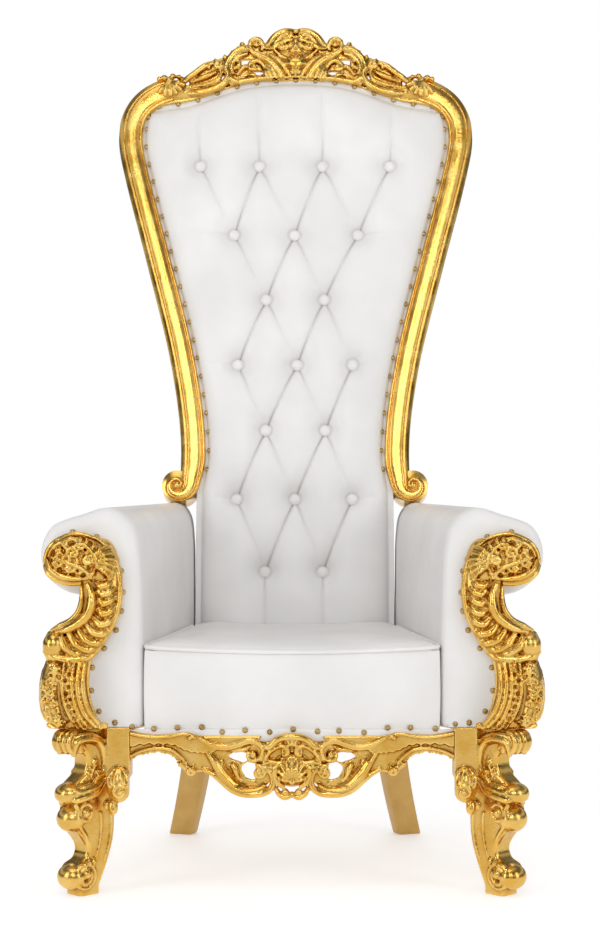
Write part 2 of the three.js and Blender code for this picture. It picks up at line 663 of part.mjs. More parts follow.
const pairs = [
  ['leg_front', frontLeg(), gold],
  ['leg_rear', rearLeg(), paintedGold],
  ['rail', sideRail(), gold],
  ['arm_pad', armPad(), leather],
  ['arm_facing', armFacing(), gold],
];
function addPair(group, label, solid, look) {
  const right = meshOf(`${label}_right`, solid, look);
  const left = meshOf(`${label}_left`, solid, look);
  left.scale.x = -1;
  group.add(right, left);
}
pairs.forEach(([label, solid, look]) => addPair(onFeet, label, solid, look));

const frontRailHalf = apronHalf - 4 - touchGap;
const backRailHalf = railEnd(railRear + railThickness) - railThickness - touchGap;
onFeet.add(meshOf('rail_front', crossRail(frontRailHalf, railFront, frontRailDepth), gold));
onFeet.add(meshOf('rail_back', crossRail(backRailHalf, railRear, railDepth), gold));
onFeet.add(meshOf('apron', apron(), gold));
onFeet.add(meshOf('seat_pad', seatPad(), leather));

const back = new THREE.Group();
back.position.set(0, backFoot, legTop);
back.rotation.x = -lean;
onFeet.add(back);
back.add(meshOf('back_pad', backPad(), leather));
back.add(meshOf('back_panel', backPanel(), leather));
addPair(back, 'stile', stile(), gold);
back.add(meshOf('crest', crest(), gold));
buttonPlaces.forEach((place, i) => {
  back.add(meshOf(`button_${i + 1}`, button(place), leather));
});

export default throne;
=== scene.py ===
import math

import bmesh
import bpy
from mathutils import Matrix, Vector, noise


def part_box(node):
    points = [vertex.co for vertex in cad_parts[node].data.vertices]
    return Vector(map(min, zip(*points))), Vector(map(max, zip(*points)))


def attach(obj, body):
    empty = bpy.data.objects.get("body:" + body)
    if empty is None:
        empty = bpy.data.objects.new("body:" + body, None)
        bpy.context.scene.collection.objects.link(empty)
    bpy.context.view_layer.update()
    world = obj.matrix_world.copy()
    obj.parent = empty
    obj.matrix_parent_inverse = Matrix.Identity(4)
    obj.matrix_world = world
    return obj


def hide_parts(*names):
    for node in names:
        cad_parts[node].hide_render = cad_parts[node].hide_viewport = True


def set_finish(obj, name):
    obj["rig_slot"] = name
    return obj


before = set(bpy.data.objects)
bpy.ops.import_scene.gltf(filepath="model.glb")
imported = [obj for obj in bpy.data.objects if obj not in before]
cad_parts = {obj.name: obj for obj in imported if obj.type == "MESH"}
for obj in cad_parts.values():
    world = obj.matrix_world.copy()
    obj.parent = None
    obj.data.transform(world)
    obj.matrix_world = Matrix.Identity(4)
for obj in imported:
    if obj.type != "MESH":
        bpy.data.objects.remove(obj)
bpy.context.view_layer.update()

mm = 0.001

# Everything is drawn in millimetres: x to the viewer's right, z up, and depth behind the
# front feet. The back is drawn upright, its height measured up the slope, and then leaned.
throne = {"seatFront": 14, "backFoot": 530, "backDepth": 64, "legTop": 310, "backLean": 11.5}
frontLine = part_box("seat_pad")[0].y - throne["seatFront"] * mm
lean = math.radians(throne["backLean"])
onFloor = Matrix.Translation((0, frontLine, 0)) @ Matrix.Scale(mm, 4)
onBack = (Matrix.Translation((0, frontLine + throne["backFoot"] * mm, throne["legTop"] * mm))
          @ Matrix.Rotation(-lean, 4, "X") @ Matrix.Scale(mm, 4))
mirrorX = Matrix.Scale(-1, 4, (1, 0, 0))


def lerp(a, b, t):
    return a + (b - a) * t


def clamp(value):
    return max(0.0, min(1.0, value))


def smoothStep(t):
    t = clamp(t)
    return t * t * (3 - 2 * t)


def sample(values, t):
    place = clamp(t) * (len(values) - 1)
    low = min(int(place), len(values) - 2)
    return lerp(values[low], values[low + 1], place - low)


# Drawing helpers

def smoothPath(points, perSpan=6):
    # A curve through every point, without overshooting where they crowd together
    knots = [Vector(p) for p in points]
    knots = [knots[0] * 2 - knots[1]] + knots + [knots[-1] * 2 - knots[-2]]
    path = []
    for i in range(1, len(knots) - 2):
        a, b, c, d = knots[i - 1:i + 3]
        ta = max((b - a).length, 1e-3) ** 0.5
        tb = max((c - b).length, 1e-3) ** 0.5
        tc = max((d - c).length, 1e-3) ** 0.5
        leave = ((b - a) / ta - (c - a) / (ta + tb) + (c - b) / tb) * tb
        arrive = ((c - b) / tb - (d - b) / (tb + tc) + (d - c) / tc) * tb
        for step in range(perSpan):
            t = step / perSpan
            path.append(b * (2 * t ** 3 - 3 * t ** 2 + 1) + leave * (t ** 3 - 2 * t ** 2 + t)
                        + c * (3 * t ** 2 - 2 * t ** 3) + arrive * (t ** 3 - t ** 2))
    path.append(knots[-2])
    return path


def evenly(path, gap):
    # Places along a path, a gap apart
    spans = [(b - a).length for a, b in zip(path, path[1:])]
    total = sum(spans)
    count = max(1, round(total / gap))
    places = []
    for i in range(count + 1):
        left = total * i / count
        at = 0
        while at < len(spans) - 1 and left > spans[at]:
            left -= spans[at]
            at += 1
        places.append(path[at].lerp(path[at + 1], clamp(left / max(spans[at], 1e-6))))
    return places


def scroll(x, z, radius, start, sweep, inner=0.25):
    count = max(3, math.ceil(abs(sweep) / 40))
    points = []
    for i in range(count + 1):
        share = i / count
        angle = math.radians(start + sweep * share)
        reach = radius * lerp(1, inner, share)
        points.append((x + reach * math.cos(angle), z + reach * math.sin(angle)))
    return points


def sprig(x, z, turn, reach, drop=0, tall=None):
    # A root, and a tip that points from it at an angle
    angle = math.radians(turn)
    return [(x, z - drop), (x + reach * math.cos(angle), z + (tall or reach) * math.sin(angle))]


def onLink(obj):
    bpy.context.scene.collection.objects.link(obj)
    return obj


def addModifier(obj, kind, **settings):
    modifier = obj.modifiers.new(kind.title(), kind)
    for key, value in settings.items():
        setattr(modifier, key, value)


def bakeModifiers(obj):
    graph = bpy.context.evaluated_depsgraph_get()
    mesh = bpy.data.meshes.new_from_object(obj.evaluated_get(graph))
    obj.modifiers.clear()
    old = obj.data
    obj.data = mesh
    bpy.data.meshes.remove(old)


def bladeProfile(name, ridges):
    # The cross-section of a carved bar: round behind, with ridges in front
    data = bpy.data.curves.new(name, "CURVE")
    data.dimensions = "2D"
    spline = data.splines.new("POLY")
    count = 28
    spline.points.add(count - 1)
    spline.use_cyclic_u = True
    for i in range(count):
        angle = 2 * math.pi * i / count
        front = clamp(math.sin(angle))
        reach = 1 - 0.2 * front * (0.5 - 0.5 * math.cos(ridges * 2 * (angle - math.pi / 2)))
        spline.points[i].co = (reach * math.cos(angle), reach * math.sin(angle), 0, 1)
    return onLink(bpy.data.objects.new(name, data))


profiles = {
    "bar": bladeProfile("barProfile", 0),
    "split": bladeProfile("splitProfile", 2),
    "ribbed": bladeProfile("ribbedProfile", 3),
}


class Carving:
    # Gathers bars, balls and leaves, which the remesh then grows together into one piece
    def __init__(self, name, flatten=1.15):
        self.name = name
        self.flatten = flatten
        self.curves = {}
        self.bm = bmesh.new()
        self.setOut()

    def setOut(self, side=1, x=0, z=0):
        # Where the next drawn points are measured from, and to which side
        self.side, self.x, self.z = side, x, z

    def at(self, points):
        return [(self.x + self.side * x, self.z + z) for x, z in points]

    def board(self, outline, lift, thickness, edge=0):
        # A flat board with a drawn outline, from lift - thickness up to lift
        bm = self.bm
        verts = [bm.verts.new((x, z, lift - thickness)) for x, z in self.at(outline)]
        grown = bmesh.ops.extrude_face_region(bm, geom=[bm.faces.new(verts)])["geom"]
        top = [v for v in grown if isinstance(v, bmesh.types.BMVert)]
        bmesh.ops.translate(bm, vec=(0, 0, thickness), verts=top)
        bmesh.ops.recalc_face_normals(bm, faces=bm.faces)
        if edge:
            rim = [e for e in bm.edges if e.verts[0] in top and e.verts[1] in top]
            bmesh.ops.bevel(bm, geom=rim, offset=edge, affect="EDGES", segments=2, profile=0.5, material=-1)

    def bar(self, points, widths, lift=0, cut="bar"):
        self.lay(self.at(points), widths, lift, cut)

    def lay(self, points, widths, lift=0, cut="bar", perSpan=6):
        # A bar through points that are already in place
        if cut not in self.curves:
            data = bpy.data.curves.new(f"{self.name}_{cut}", "CURVE")
            data.dimensions = "3D"
            data.twist_mode = "Z_UP"
            data.bevel_mode = "OBJECT"
            data.bevel_object = profiles[cut]
            data.use_fill_caps = True
            self.curves[cut] = data
        path = smoothPath(points, perSpan)
        spline = self.curves[cut].splines.new("POLY")
        spline.points.add(len(path) - 1)
        lifts = lift if isinstance(lift, (list, tuple)) else [lift, lift]
        for i, point in enumerate(path):
            share = i / (len(path) - 1)
            spline.points[i].co = (point.x, point.y, sample(lifts, share) / self.flatten, 1)
            spline.points[i].radius = sample(widths, share)

    def ball(self, x, z, radius, lift=0, tall=None, deep=None, segments=18):
        x, z = self.at([(x, z)])[0]
        place = (Matrix.Translation((x, z, lift))
                 @ Matrix.Diagonal((radius, tall or radius, deep or radius, 1)))
        bmesh.ops.create_uvsphere(self.bm, u_segments=segments, v_segments=segments * 2 // 3, radius=1,
                                  matrix=place)

    def leaf(self, points, width, lift=0, lobes=4, curl=0.5):
        # A rib with lobes that spring from both its sides, like acanthus
        points = self.at(points)
        path = smoothPath(points, 8)
        self.lay(points, [width * 0.22, width * 0.34, width * 0.26, width * 0.1], lift + 2, "split")
        for i in range(lobes):
            share = (i + 0.6) / (lobes + 0.4)
            at = path[int(share * (len(path) - 1))]
            ahead = path[min(int(share * (len(path) - 1)) + 2, len(path) - 1)]
            along = (ahead - path[max(int(share * (len(path) - 1)) - 2, 0)]).normalized()
            reach = width * math.sin(math.pi * lerp(0.2, 0.92, share)) ** 0.7
            for side in (-1, 1):
                out = Vector((-along.y, along.x)) * side
                tip = at + out * reach + along * reach * curl
                middle = at + out * reach * 0.62 + along * reach * curl * 0.25
                self.lay([at, middle, tip], [width * 0.2, width * 0.27, width * 0.12],
                         [lift, lift + 2.5, lift - 1], "split", 3)

    def toBmesh(self):
        # The drawing plane faces the front: its own upward axis becomes forwards
        for data in self.curves.values():
            obj = onLink(bpy.data.objects.new(data.name, data))
            graph = bpy.context.evaluated_depsgraph_get()
            mesh = bpy.data.meshes.new_from_object(obj.evaluated_get(graph))
            mesh.transform(Matrix.Diagonal((1, 1, self.flatten, 1)))
            self.bm.from_mesh(mesh)
            bpy.data.objects.remove(obj)
            bpy.data.meshes.remove(mesh)
        bmesh.ops.rotate(self.bm, cent=(0, 0, 0), matrix=Matrix.Rotation(math.pi / 2, 3, "X"),
                         verts=self.bm.verts)
        return self.bm


def sectionBar(bm, section, path, widths):
    # A moulding: the [across, depth] section is set out square to the path at every point
    rings = []
    count = len(path)
    for i, point in enumerate(path):
        before = path[max(i - 1, 0)]
        after = path[min(i + 1, count - 1)]
        along = (after - before).normalized()
        across = Vector((along.y, -along.x))
        width = sample(widths, i / (count - 1))
        ring = []
        for a, depth in section:
            place = point + across * a * width
            ring.append(bm.verts.new((place.x, depth, place.y)))
        rings.append(ring)
    for ring in rings:
        for a, b in zip(ring, ring[1:] + ring[:1]):
            bm.edges.new((a, b))
    for near, far in zip(rings, rings[1:]):
        edges = [bm.edges.get((a, b)) for ring in (near, far) for a, b in zip(ring, ring[1:] + ring[:1])]
        bmesh.ops.bridge_loops(bm, edges=edges)
    for ring in (rings[0], rings[-1]):
        bm.faces.new(ring)


def finishPiece(bm, name, place, material, slotName, replaced=()):
    bmesh.ops.transform(bm, matrix=place, verts=bm.verts)
    if place.determinant() < 0:
        bmesh.ops.reverse_faces(bm, faces=bm.faces)
    mesh = bpy.data.meshes.new(name)
    bm.to_mesh(mesh)
    bm.free()
    mesh.polygons.foreach_set("use_smooth", [True] * len(mesh.polygons))
    obj = onLink(bpy.data.objects.new(name, mesh))
    mesh.materials.append(material)
    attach(obj, "root")
    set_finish(obj, slotName)
    if replaced:
        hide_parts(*replaced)
    return obj


def growTogether(obj, voxel):
    # One skin over everything the piece was put together from
    addModifier(obj, "REMESH", mode="VOXEL", voxel_size=voxel * mm, use_smooth_shade=True)
    addModifier(obj, "SMOOTH", factor=0.5, iterations=2)
    material = obj.data.materials[0]
    bakeModifiers(obj)
    if not obj.data.materials:
        obj.data.materials.append(material)


def mirrored(obj, name, replaced=()):
    bm = bmesh.new()
    bm.from_mesh(obj.data)
    bmesh.ops.transform(bm, matrix=mirrorX, verts=bm.verts)
    bmesh.ops.reverse_faces(bm, faces=bm.faces)
    mesh = bpy.data.meshes.new(name)
    bm.to_mesh(mesh)
    bm.free()
    mesh.materials.append(obj.data.materials[0])
    twin = onLink(bpy.data.objects.new(name, mesh))
    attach(twin, "root")
    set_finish(twin, obj["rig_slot"] if "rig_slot" in obj else "gilded_wood")
    if replaced:
        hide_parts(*replaced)
    return twin


def cutPlane(bm, place, normal):
    # Cuts off what lies beyond a plane and closes the cut
    everything = bm.verts[:] + bm.edges[:] + bm.faces[:]
    cut = bmesh.ops.bisect_plane(bm, geom=everything, plane_co=place, plane_no=normal, clear_outer=True)
    edges = [e for e in cut["geom_cut"] if isinstance(e, bmesh.types.BMEdge) and e.is_boundary]
    if edges:
        bmesh.ops.holes_fill(bm, edges=edges)


def softenEdges(bm, width):
    # Rounds every edge that turns sharply
    bmesh.ops.recalc_face_normals(bm, faces=bm.faces)
    sharp = [e for e in bm.edges if e.calc_face_angle(0) > 0.9]
    bmesh.ops.bevel(bm, geom=sharp, offset=width, affect="EDGES", segments=3, profile=0.5, material=-1)


def closeBehind(bm, depth):
    # Makes a sheet a closed pad: its rim runs straight back to a flat rear
    grown = bmesh.ops.extrude_edge_only(bm, edges=[e for e in bm.edges if e.is_boundary])["geom"]
    for vert in [v for v in grown if isinstance(v, bmesh.types.BMVert)]:
        vert.co.y = depth
    rim = [e for e in grown if isinstance(e, bmesh.types.BMEdge) and e.is_boundary]
    bmesh.ops.holes_fill(bm, edges=rim)
    bmesh.ops.recalc_face_normals(bm, faces=bm.faces)


def tube(name, path, radius, place, material, slotName):
    # A round cord along a path
    data = bpy.data.curves.new(name, "CURVE")
    data.dimensions = "3D"
    data.bevel_depth = radius
    data.bevel_resolution = 5
    data.use_fill_caps = True
    spline = data.splines.new("POLY")
    spline.points.add(len(path) - 1)
    for point, v in zip(spline.points, path):
        point.co = (*v, 1)
    source = onLink(bpy.data.objects.new(name + "Line", data))
    graph = bpy.context.evaluated_depsgraph_get()
    mesh = bpy.data.meshes.new_from_object(source.evaluated_get(graph))
    bm = bmesh.new()
    bm.from_mesh(mesh)
    bpy.data.objects.remove(source)
    bpy.data.meshes.remove(mesh)
    finishPiece(bm, name, place, material, slotName)


def beam(bm, low, high, edge=2):
    size = [b - a for a, b in zip(low, high)]
    middle = [(a + b) / 2 for a, b in zip(low, high)]
    place = Matrix.Translation(middle) @ Matrix.Diagonal((*size, 1))
    made = bmesh.ops.create_cube(bm, size=1, matrix=place)
    edges = {e for v in made["verts"] for e in v.link_edges}
    bmesh.ops.bevel(bm, geom=list(edges), offset=edge, affect="EDGES", segments=2, profile=0.5, material=-1)


# Materials

def newMaterial(name):
    material = bpy.data.materials.new(name)
    material.use_nodes = True
    tree = material.node_tree
    shader = tree.nodes["Principled BSDF"]
    return material, tree, shader


def addNode(tree, kind, inputs=None, **settings):
    node = tree.nodes.new(kind)
    for key, value in settings.items():
        setattr(node, key, value)
    for key, value in (inputs or {}).items():
        if isinstance(value, bpy.types.NodeSocket):
            tree.links.new(value, node.inputs[key])
        else:
            node.inputs[key].default_value = value
    return node


def noiseGroup():
    # Cloudy variation at two sizes, as a mask from 0 to 1 and a height for bumps
    group = bpy.data.node_groups.new("cloudyVariation", "ShaderNodeTree")
    for label, kind in (("Vector", "NodeSocketVector"), ("Coarse", "NodeSocketFloat"),
                        ("Fine", "NodeSocketFloat")):
        group.interface.new_socket(label, in_out="INPUT", socket_type=kind)
    for label in ("Mask", "Height"):
        group.interface.new_socket(label, in_out="OUTPUT", socket_type="NodeSocketFloat")
    given = group.nodes.new("NodeGroupInput")
    result = group.nodes.new("NodeGroupOutput")
    coarse = addNode(group, "ShaderNodeTexNoise", {"Vector": given.outputs["Vector"],
                                                   "Scale": given.outputs["Coarse"], "Detail": 3.0})
    fine = addNode(group, "ShaderNodeTexNoise", {"Vector": given.outputs["Vector"],
                                                 "Scale": given.outputs["Fine"], "Detail": 4.0})
    mask = addNode(group, "ShaderNodeMapRange", {"Value": coarse.outputs["Fac"], "From Min": 0.35,
                                                 "From Max": 0.65})
    both = addNode(group, "ShaderNodeMath", {0: coarse.outputs["Fac"], 1: fine.outputs["Fac"]},
                   operation="ADD")
    group.links.new(mask.outputs["Result"], result.inputs["Mask"])
    group.links.new(both.outputs["Value"], result.inputs["Height"])
    return group


cloudy = noiseGroup()


def placedNoise(tree, coarse, fine):
    place = tree.nodes.new("ShaderNodeTexCoord")
    return addNode(tree, "ShaderNodeGroup", {"Vector": place.outputs["Object"], "Coarse": coarse,
                                             "Fine": fine}, node_tree=cloudy)


def mixColour(tree, factor, a, b):
    node = tree.nodes.new("ShaderNodeMix")
    node.data_type = "RGBA"
    for index, value in ((0, factor), (6, a), (7, b)):
        if isinstance(value, bpy.types.NodeSocket):
            tree.links.new(value, node.inputs[index])
        else:
            node.inputs[index].default_value = value
    return node.outputs[2]


def metalLeaf(name, look):
    # Burnished leaf: brighter and paler where it is rubbed, and painted shade, orange-brown and duller,
    # where it lies deep in the hollows
    material, tree, shader = newMaterial(name)
    clouds = placedNoise(tree, look["patches"], look["grain"])
    hollows = tree.nodes.new("ShaderNodeNewGeometry")
    # Painted shade: the deep colour takes over where pointiness is low, in the hollows of the carving
    depth = addNode(tree, "ShaderNodeMapRange", {"Value": hollows.outputs["Pointiness"],
                                                 "From Min": look["fullShadeBelow"], "From Max": look["noShadeAbove"]})
    body = mixColour(tree, clouds.outputs["Mask"], look["colour"], look["paler"])
    colour = mixColour(tree, depth.outputs["Result"], look["deep"], body)
    rough = addNode(tree, "ShaderNodeMapRange", {"Value": clouds.outputs["Mask"],
                                                 "To Min": look["smooth"], "To Max": look["rough"]})
    bump = addNode(tree, "ShaderNodeBump", {"Height": clouds.outputs["Height"],
                                            "Strength": look["bump"], "Distance": 0.001})
    tree.links.new(colour, shader.inputs["Base Color"])
    tree.links.new(rough.outputs["Result"], shader.inputs["Roughness"])
    tree.links.new(bump.outputs["Normal"], shader.inputs["Normal"])
    shader.inputs["Metallic"].default_value = look["metal"]
    return material


# The "deep" colour is painted shade for the hollows: full below the first pointiness value, gone above the
# second
goldLook = {
    "colour": (0.76, 0.44, 0.085, 1), "paler": (0.9, 0.6, 0.17, 1), "deep": (0.2, 0.075, 0.01, 1),
    "patches": 26.0, "grain": 170.0, "smooth": 0.16, "rough": 0.3, "bump": 0.35,
    "fullShadeBelow": 0.42, "noShadeAbove": 0.52, "metal": 1.0,
}
carvedGold = metalLeaf("carvedGold", goldLook)
plainGold = metalLeaf("plainGold", {**goldLook, "fullShadeBelow": 0.2, "noShadeAbove": 0.45, "bump": 0.22})
satinGold = metalLeaf("satinGold", {
    **goldLook, "colour": (0.5, 0.3, 0.09, 1), "paler": (0.58, 0.37, 0.12, 1), "smooth": 0.38, "rough": 0.5,
    "bump": 0.15, "fullShadeBelow": 0.1, "noShadeAbove": 0.4, "metal": 0.75,
})
# The nails take the same painted shade in their hollows, in a darker brown
nailBrass = metalLeaf("nailBrass", {
    **goldLook, "colour": (0.4, 0.27, 0.1, 1), "paler": (0.55, 0.39, 0.16, 1),
    "deep": (0.1, 0.05, 0.015, 1), "smooth": 0.22, "rough": 0.34, "bump": 0.1,
})


def softLeather(name, look):
    # Coated leather: pebbled grain, faint clouding, a slight gloss that varies, and painted shade in the
    # creases and round the buttons, read from the fold attribute
    material, tree, shader = newMaterial(name)
    place = tree.nodes.new("ShaderNodeTexCoord")
    clouds = placedNoise(tree, 7.0, 60.0)
    cells = addNode(tree, "ShaderNodeTexVoronoi", {"Vector": place.outputs["Object"],
                                                   "Scale": look["pebbles"]}, feature="DISTANCE_TO_EDGE")
    pebble = addNode(tree, "ShaderNodeMapRange", {"Value": cells.outputs["Distance"], "From Max": 0.12})
    colour = mixColour(tree, clouds.outputs["Mask"], look["colour"], look["shade"])
    # The fold attribute holds painted shade: darker in the creases and in a ring round each button
    paintedFoldShade = addNode(tree, "ShaderNodeAttribute", attribute_name="fold")
    colour = mixColour(tree, paintedFoldShade.outputs["Fac"], colour, look["fold"])
    rough = addNode(tree, "ShaderNodeMapRange", {"Value": clouds.outputs["Mask"],
                                                 "To Min": look["smooth"], "To Max": look["rough"]})
    creases = addNode(tree, "ShaderNodeBump", {"Height": clouds.outputs["Height"],
                                               "Strength": 0.25, "Distance": 0.0015})
    grain = addNode(tree, "ShaderNodeBump", {"Height": pebble.outputs["Result"], "Strength": 0.25,
                                             "Distance": 0.0002, "Normal": creases.outputs["Normal"]})
    tree.links.new(colour, shader.inputs["Base Color"])
    tree.links.new(rough.outputs["Result"], shader.inputs["Roughness"])
    tree.links.new(grain.outputs["Normal"], shader.inputs["Normal"])
    shader.inputs["Coat Weight"].default_value = 0.12
    shader.inputs["Coat Roughness"].default_value = 0.3
    return material


# "fold" is the colour of the painted shade in the creases and in the ring round each button
whiteLeather = softLeather("whiteLeather", {
    "colour": (0.77, 0.757, 0.74, 1), "shade": (0.72, 0.707, 0.69, 1), "fold": (0.44, 0.425, 0.4, 1),
    "pebbles": 620.0, "smooth": 0.32, "rough": 0.45,
})

print("materials ready")


# The carved crest

crestShape = {"padTop": 1395, "jointHalf": 297, "halfPad": 318, "sunk": 5, "railMiddle": 18, "railEnd": 60,
              "railBoard": 0.92, "voxel": 2.1}
topDrop = [0, 1, 4, 9, 18, 31, 45, 55, 60, 68]


def padTopEdge(x):
    return crestShape["padTop"] - sample(topDrop, abs(x) / crestShape["halfPad"])


def railWidth(t):
    return lerp(crestShape["railMiddle"], crestShape["railEnd"], abs(2 * t - 1) ** 2.4)


railLine = []
for i in range(25):
    x = lerp(-1, 1, i / 24) * crestShape["jointHalf"]
    railLine.append((x, padTopEdge(x) + railWidth(i / 24) / 2))


def makeCrest():
    carving = Carving("crestCarving")
    bar, ball = carving.bar, carving.ball
    top = crestShape["padTop"] - crestShape["sunk"]
    halfWidths = [railWidth(i / 24) / 2 for i in range(25)]
    bar(railLine, [w * 0.86 for w in halfWidths], [-6, -9, -14, -14, -14, -9, -6])
    inner = [(x, z - w + 3.5) for (x, z), w in zip(railLine, halfWidths)]
    bar(inner[:9], [3.4, 3.4, 2.6], [5, 4, -4])
    bar(inner[-9:], [2.6, 3.4, 3.4], [-4, 4, 5])
    outer = [(x, z + w * 0.5) for (x, z), w in zip(railLine, halfWidths)]
    bar(outer[1:8], [5, 4, 3], [7, 6, -3])
    bar(outer[-8:-1], [3, 4, 5], [-3, 6, 7])
    for side in (-1, 1):
        carving.setOut(side, 0, top)
        # The hood over the flower
        bar([(2, 118.2), (12.2, 119.2), (27.5, 117.2), (45.4, 107.8), (58.1, 94), (69.6, 79.2)],
            [6, 7.5, 8.5, 8.5, 7.5, 5], [6, 8, 9, 8, 5])
        bar([(5.1, 112), (19.9, 109.9), (35.2, 102.6), (49.2, 87.6), (60.6, 75.9)], [4, 5.5, 6, 5.5, 3],
            [12, 13, 13, 11, 8], "split")
        bar(scroll(12.7, 107.8, 6, 60, 320, 0.4), [3, 3.6, 3, 2], [13, 15, 14])
        bar([(68.3, 75.9), (53, 78.5), (39, 87.6), (27.5, 94)], [3, 5, 4.5, 2.5], [10, 13, 13], "split")
        # The corner curl and the long scroll that runs from it to the foot
        bar([(78.5, 72), (74.7, 85), (81, 95.3), (91.2, 97.9), (101.9, 91.5), (103.4, 78.5), (97.6, 66.8),
             (83.6, 58.5), (63.2, 48.6), (45.4, 33), (34.1, 18.7), (27.5, 7.1)],
             [4, 5, 5.5, 5.5, 5.5, 5.5, 6, 6.5, 7.5, 8, 7.5, 6],
            [8, 12, 15, 16, 15, 14, 14, 14, 13], "bar")
        ball(89.2, 85, 6.5, 12)
        bar([(93.8, 59), (73.4, 47.3), (54.3, 30.4), (40.3, 14.8), (33.1, 5.8)], [2.5, 3.5, 4, 4, 3],
            [9, 10, 11, 10], "split")
        bar([(60.6, 62.9), (42.8, 51.2), (27.5, 34.3), (17.3, 20), (11, 7.1)], [3, 5.5, 6.5, 6.5, 5],
            [10, 13, 13, 11], "split")
        # Fluted leaves at the foot of the long scroll
        for i in range(4):
            bar([(lerp(32, 62, i / 3), 3), (lerp(45, 68, i / 3), lerp(28, 14, i / 3)),
                 (lerp(66, 72, i / 3), lerp(44, 22, i / 3))], [3, 4.2, 2.6], [13, 16, 12])
        bar([(68.3, 20), (74.7, 38.2), (88.7, 46), (104, 38.7), (103.4, 26.5), (91.2, 25.2), (87.4, 33)],
            [4, 5, 5.4, 5, 4.4, 3.6, 2.6], [9, 12, 13, 14, 13], "split")
        ball(94.3, 33, 4.5, 14)
        bar([(101.4, 29.1), (114.2, 33), (124.3, 25.2), (133.3, 12.2)], [3.6, 5.4, 5, 3], [10, 12, 9],
            "split")
        bar([(53, 3.2), (78.5, 5), (104, 0.6), (129.4, -3.3), (149.8, -8.5)], [5, 6, 6.5, 6.5, 5],
            [7, 9, 8], "split")
        bar([(88.7, 5.8), (93.8, 13.5), (106.5, 14.8)], [3, 4, 2.4], [9, 11, 9], "split")
        # Leafy mass above, its bud, and the big C that encloses the openings
        bar([(101.4, 74.6), (116.7, 75.9), (137.1, 66.8), (152.4, 48.6), (158.5, 27.8), (152.4, 9.6),
             (138.4, -2), (121.8, -5.4)], [6, 8.5, 8, 6.5, 6, 6, 6, 5], [8, 11, 12, 12, 12, 11, 9], "bar")
        bar([(109.1, 65.5), (126.9, 59), (140.9, 46), (145.2, 27.8), (139.6, 14.8)], [4, 6, 5.5, 5, 3],
            [9, 12, 12, 10], "split")
        bar([(142.2, 27.8), (130.7, 34.3), (126.9, 43.4), (134.5, 47.3)], [4, 5, 4.4, 3], [9, 11, 10],
            "split")
        ball(121.8, 86.8, 6.5, 9)
        for x, z, turn in ((106.5, 81.1, 120), (116.7, 78.5, 100), (130.7, 74.6, 80), (142.2, 65.5, 60)):
            bar(sprig(x, z, turn, 8, 4), [3, 5, 2.4], [9, 12, 8], "split")
        # The trough of the lower scroll, with its volute and buds
        bar(scroll(176.6, 36.9, 10, 100, 420, 0.3), [4.4, 4.6, 4.4, 4, 3], [11, 14, 15])
        ball(176.6, 36.1, 4, 15)
        bar([(156, 38), (153, 14), (163, -8), (188, -24), (222, -31), (250, -30)], [5, 6.5, 7.5, 8, 7.5, 5],
            [9, 12, 13, 13, 12, 8])
        bar([(170, 26), (171, 8), (184, -5), (208, -12), (238, -14)], [3.4, 4.6, 5.4, 5, 3],
            [10, 13, 14, 13, 9], "split")
        bar([(180, 22), (196, 12), (216, 4), (238, -4)], [4, 6, 6, 3], [8, 11, 11, 8], "split")
        bar([(186, 44), (206, 34), (226, 18), (244, 4), (262, -12)], [5, 7, 7, 7, 5], [9, 12, 12, 12, 8])
        for x, z, turn in ((160, 56.4, 75), (180.4, 47.3, 70), (195.7, 33, 60), (216.1, 25.2, 60)):
            bar(sprig(x, z, turn, 7, 6, 6), [3, 5, 2.4], [9, 12, 8], "split")
        ball(211, 30, 7, 8)
        ball(258, 3, 7.5, 7)
        ball(236, 14, 6, 8)
        # The shell over the joint with the stile
        ball(287, -4, 11, 12)
        for turn in (196, 218, 240, 262, 284, 306):
            angle = math.radians(turn)
            bar([(287 + 6 * math.cos(angle), -4 + 6 * math.sin(angle)),
                 (287 + 24 * math.cos(angle), -4 + 24 * math.sin(angle)),
                 (287 + 37 * math.cos(angle), -4 + 37 * math.sin(angle))], [2.6, 5, 5], [20, 24, 17])
        for x, z, radius in ((308, 1, 6.5), (297, 5, 7), (278, 8, 7), (264, 6, 6)):
            ball(x, z, radius, 13, deep=10)
        plate = [(-0.5, 117.4), (17.3, 118.2), (37.7, 112.2), (53, 97.9), (65.7, 77.2), (78.5, 72),
                 (98.9, 74.6), (93.8, 61.6), (68.3, 51.2), (50.5, 33), (42.8, 1.9), (-0.5, 1.9)]
        carving.board(plate, 3, 16)
        # Grounds that close the carving, except where light shows through
        grounds = [
            [(63.2, 77.2), (75.9, 51.2), (98.9, 51.2), (106.5, 74.6), (101.4, 92.8), (88.7, 97.9),
             (78.5, 87.6)],
            [(104, 85), (124.3, 90.2), (144.7, 72), (162.6, 51.2), (166.4, 27.8), (161.3, 12.2),
             (147.3, 7.1), (139.6, -8.5), (104, -3.3), (111.6, 4.5), (114.2, 12.2), (124.3, 22.6),
             (133.3, 30.4), (129.4, 48.6), (121.8, 53.8), (98.9, 53.8)],
            [(53, 33), (65.7, 43.4), (93.8, 46), (100.1, 33), (114.2, 33), (124.3, 25.2), (114.2, 12.8),
             (104, 14.8), (98.9, 25.2), (81, 26.5), (72.1, 22.6), (75.9, 14.8), (73.4, 1.9), (35.2, 1.9),
             (32.6, 14.8)],
            [(162.6, 33), (171.5, 46), (157.5, 61.6), (180.4, 52.5), (190.6, 36.9), (205.9, 30.4),
             (241.6, 7.1), (241.6, -24.1), (193.1, -11.1), (175.3, -3.3), (166.4, 14.8)],
        ]
        for ground in grounds:
            carving.board(ground, 5, 14)
    carving.setOut(1, 0, top)
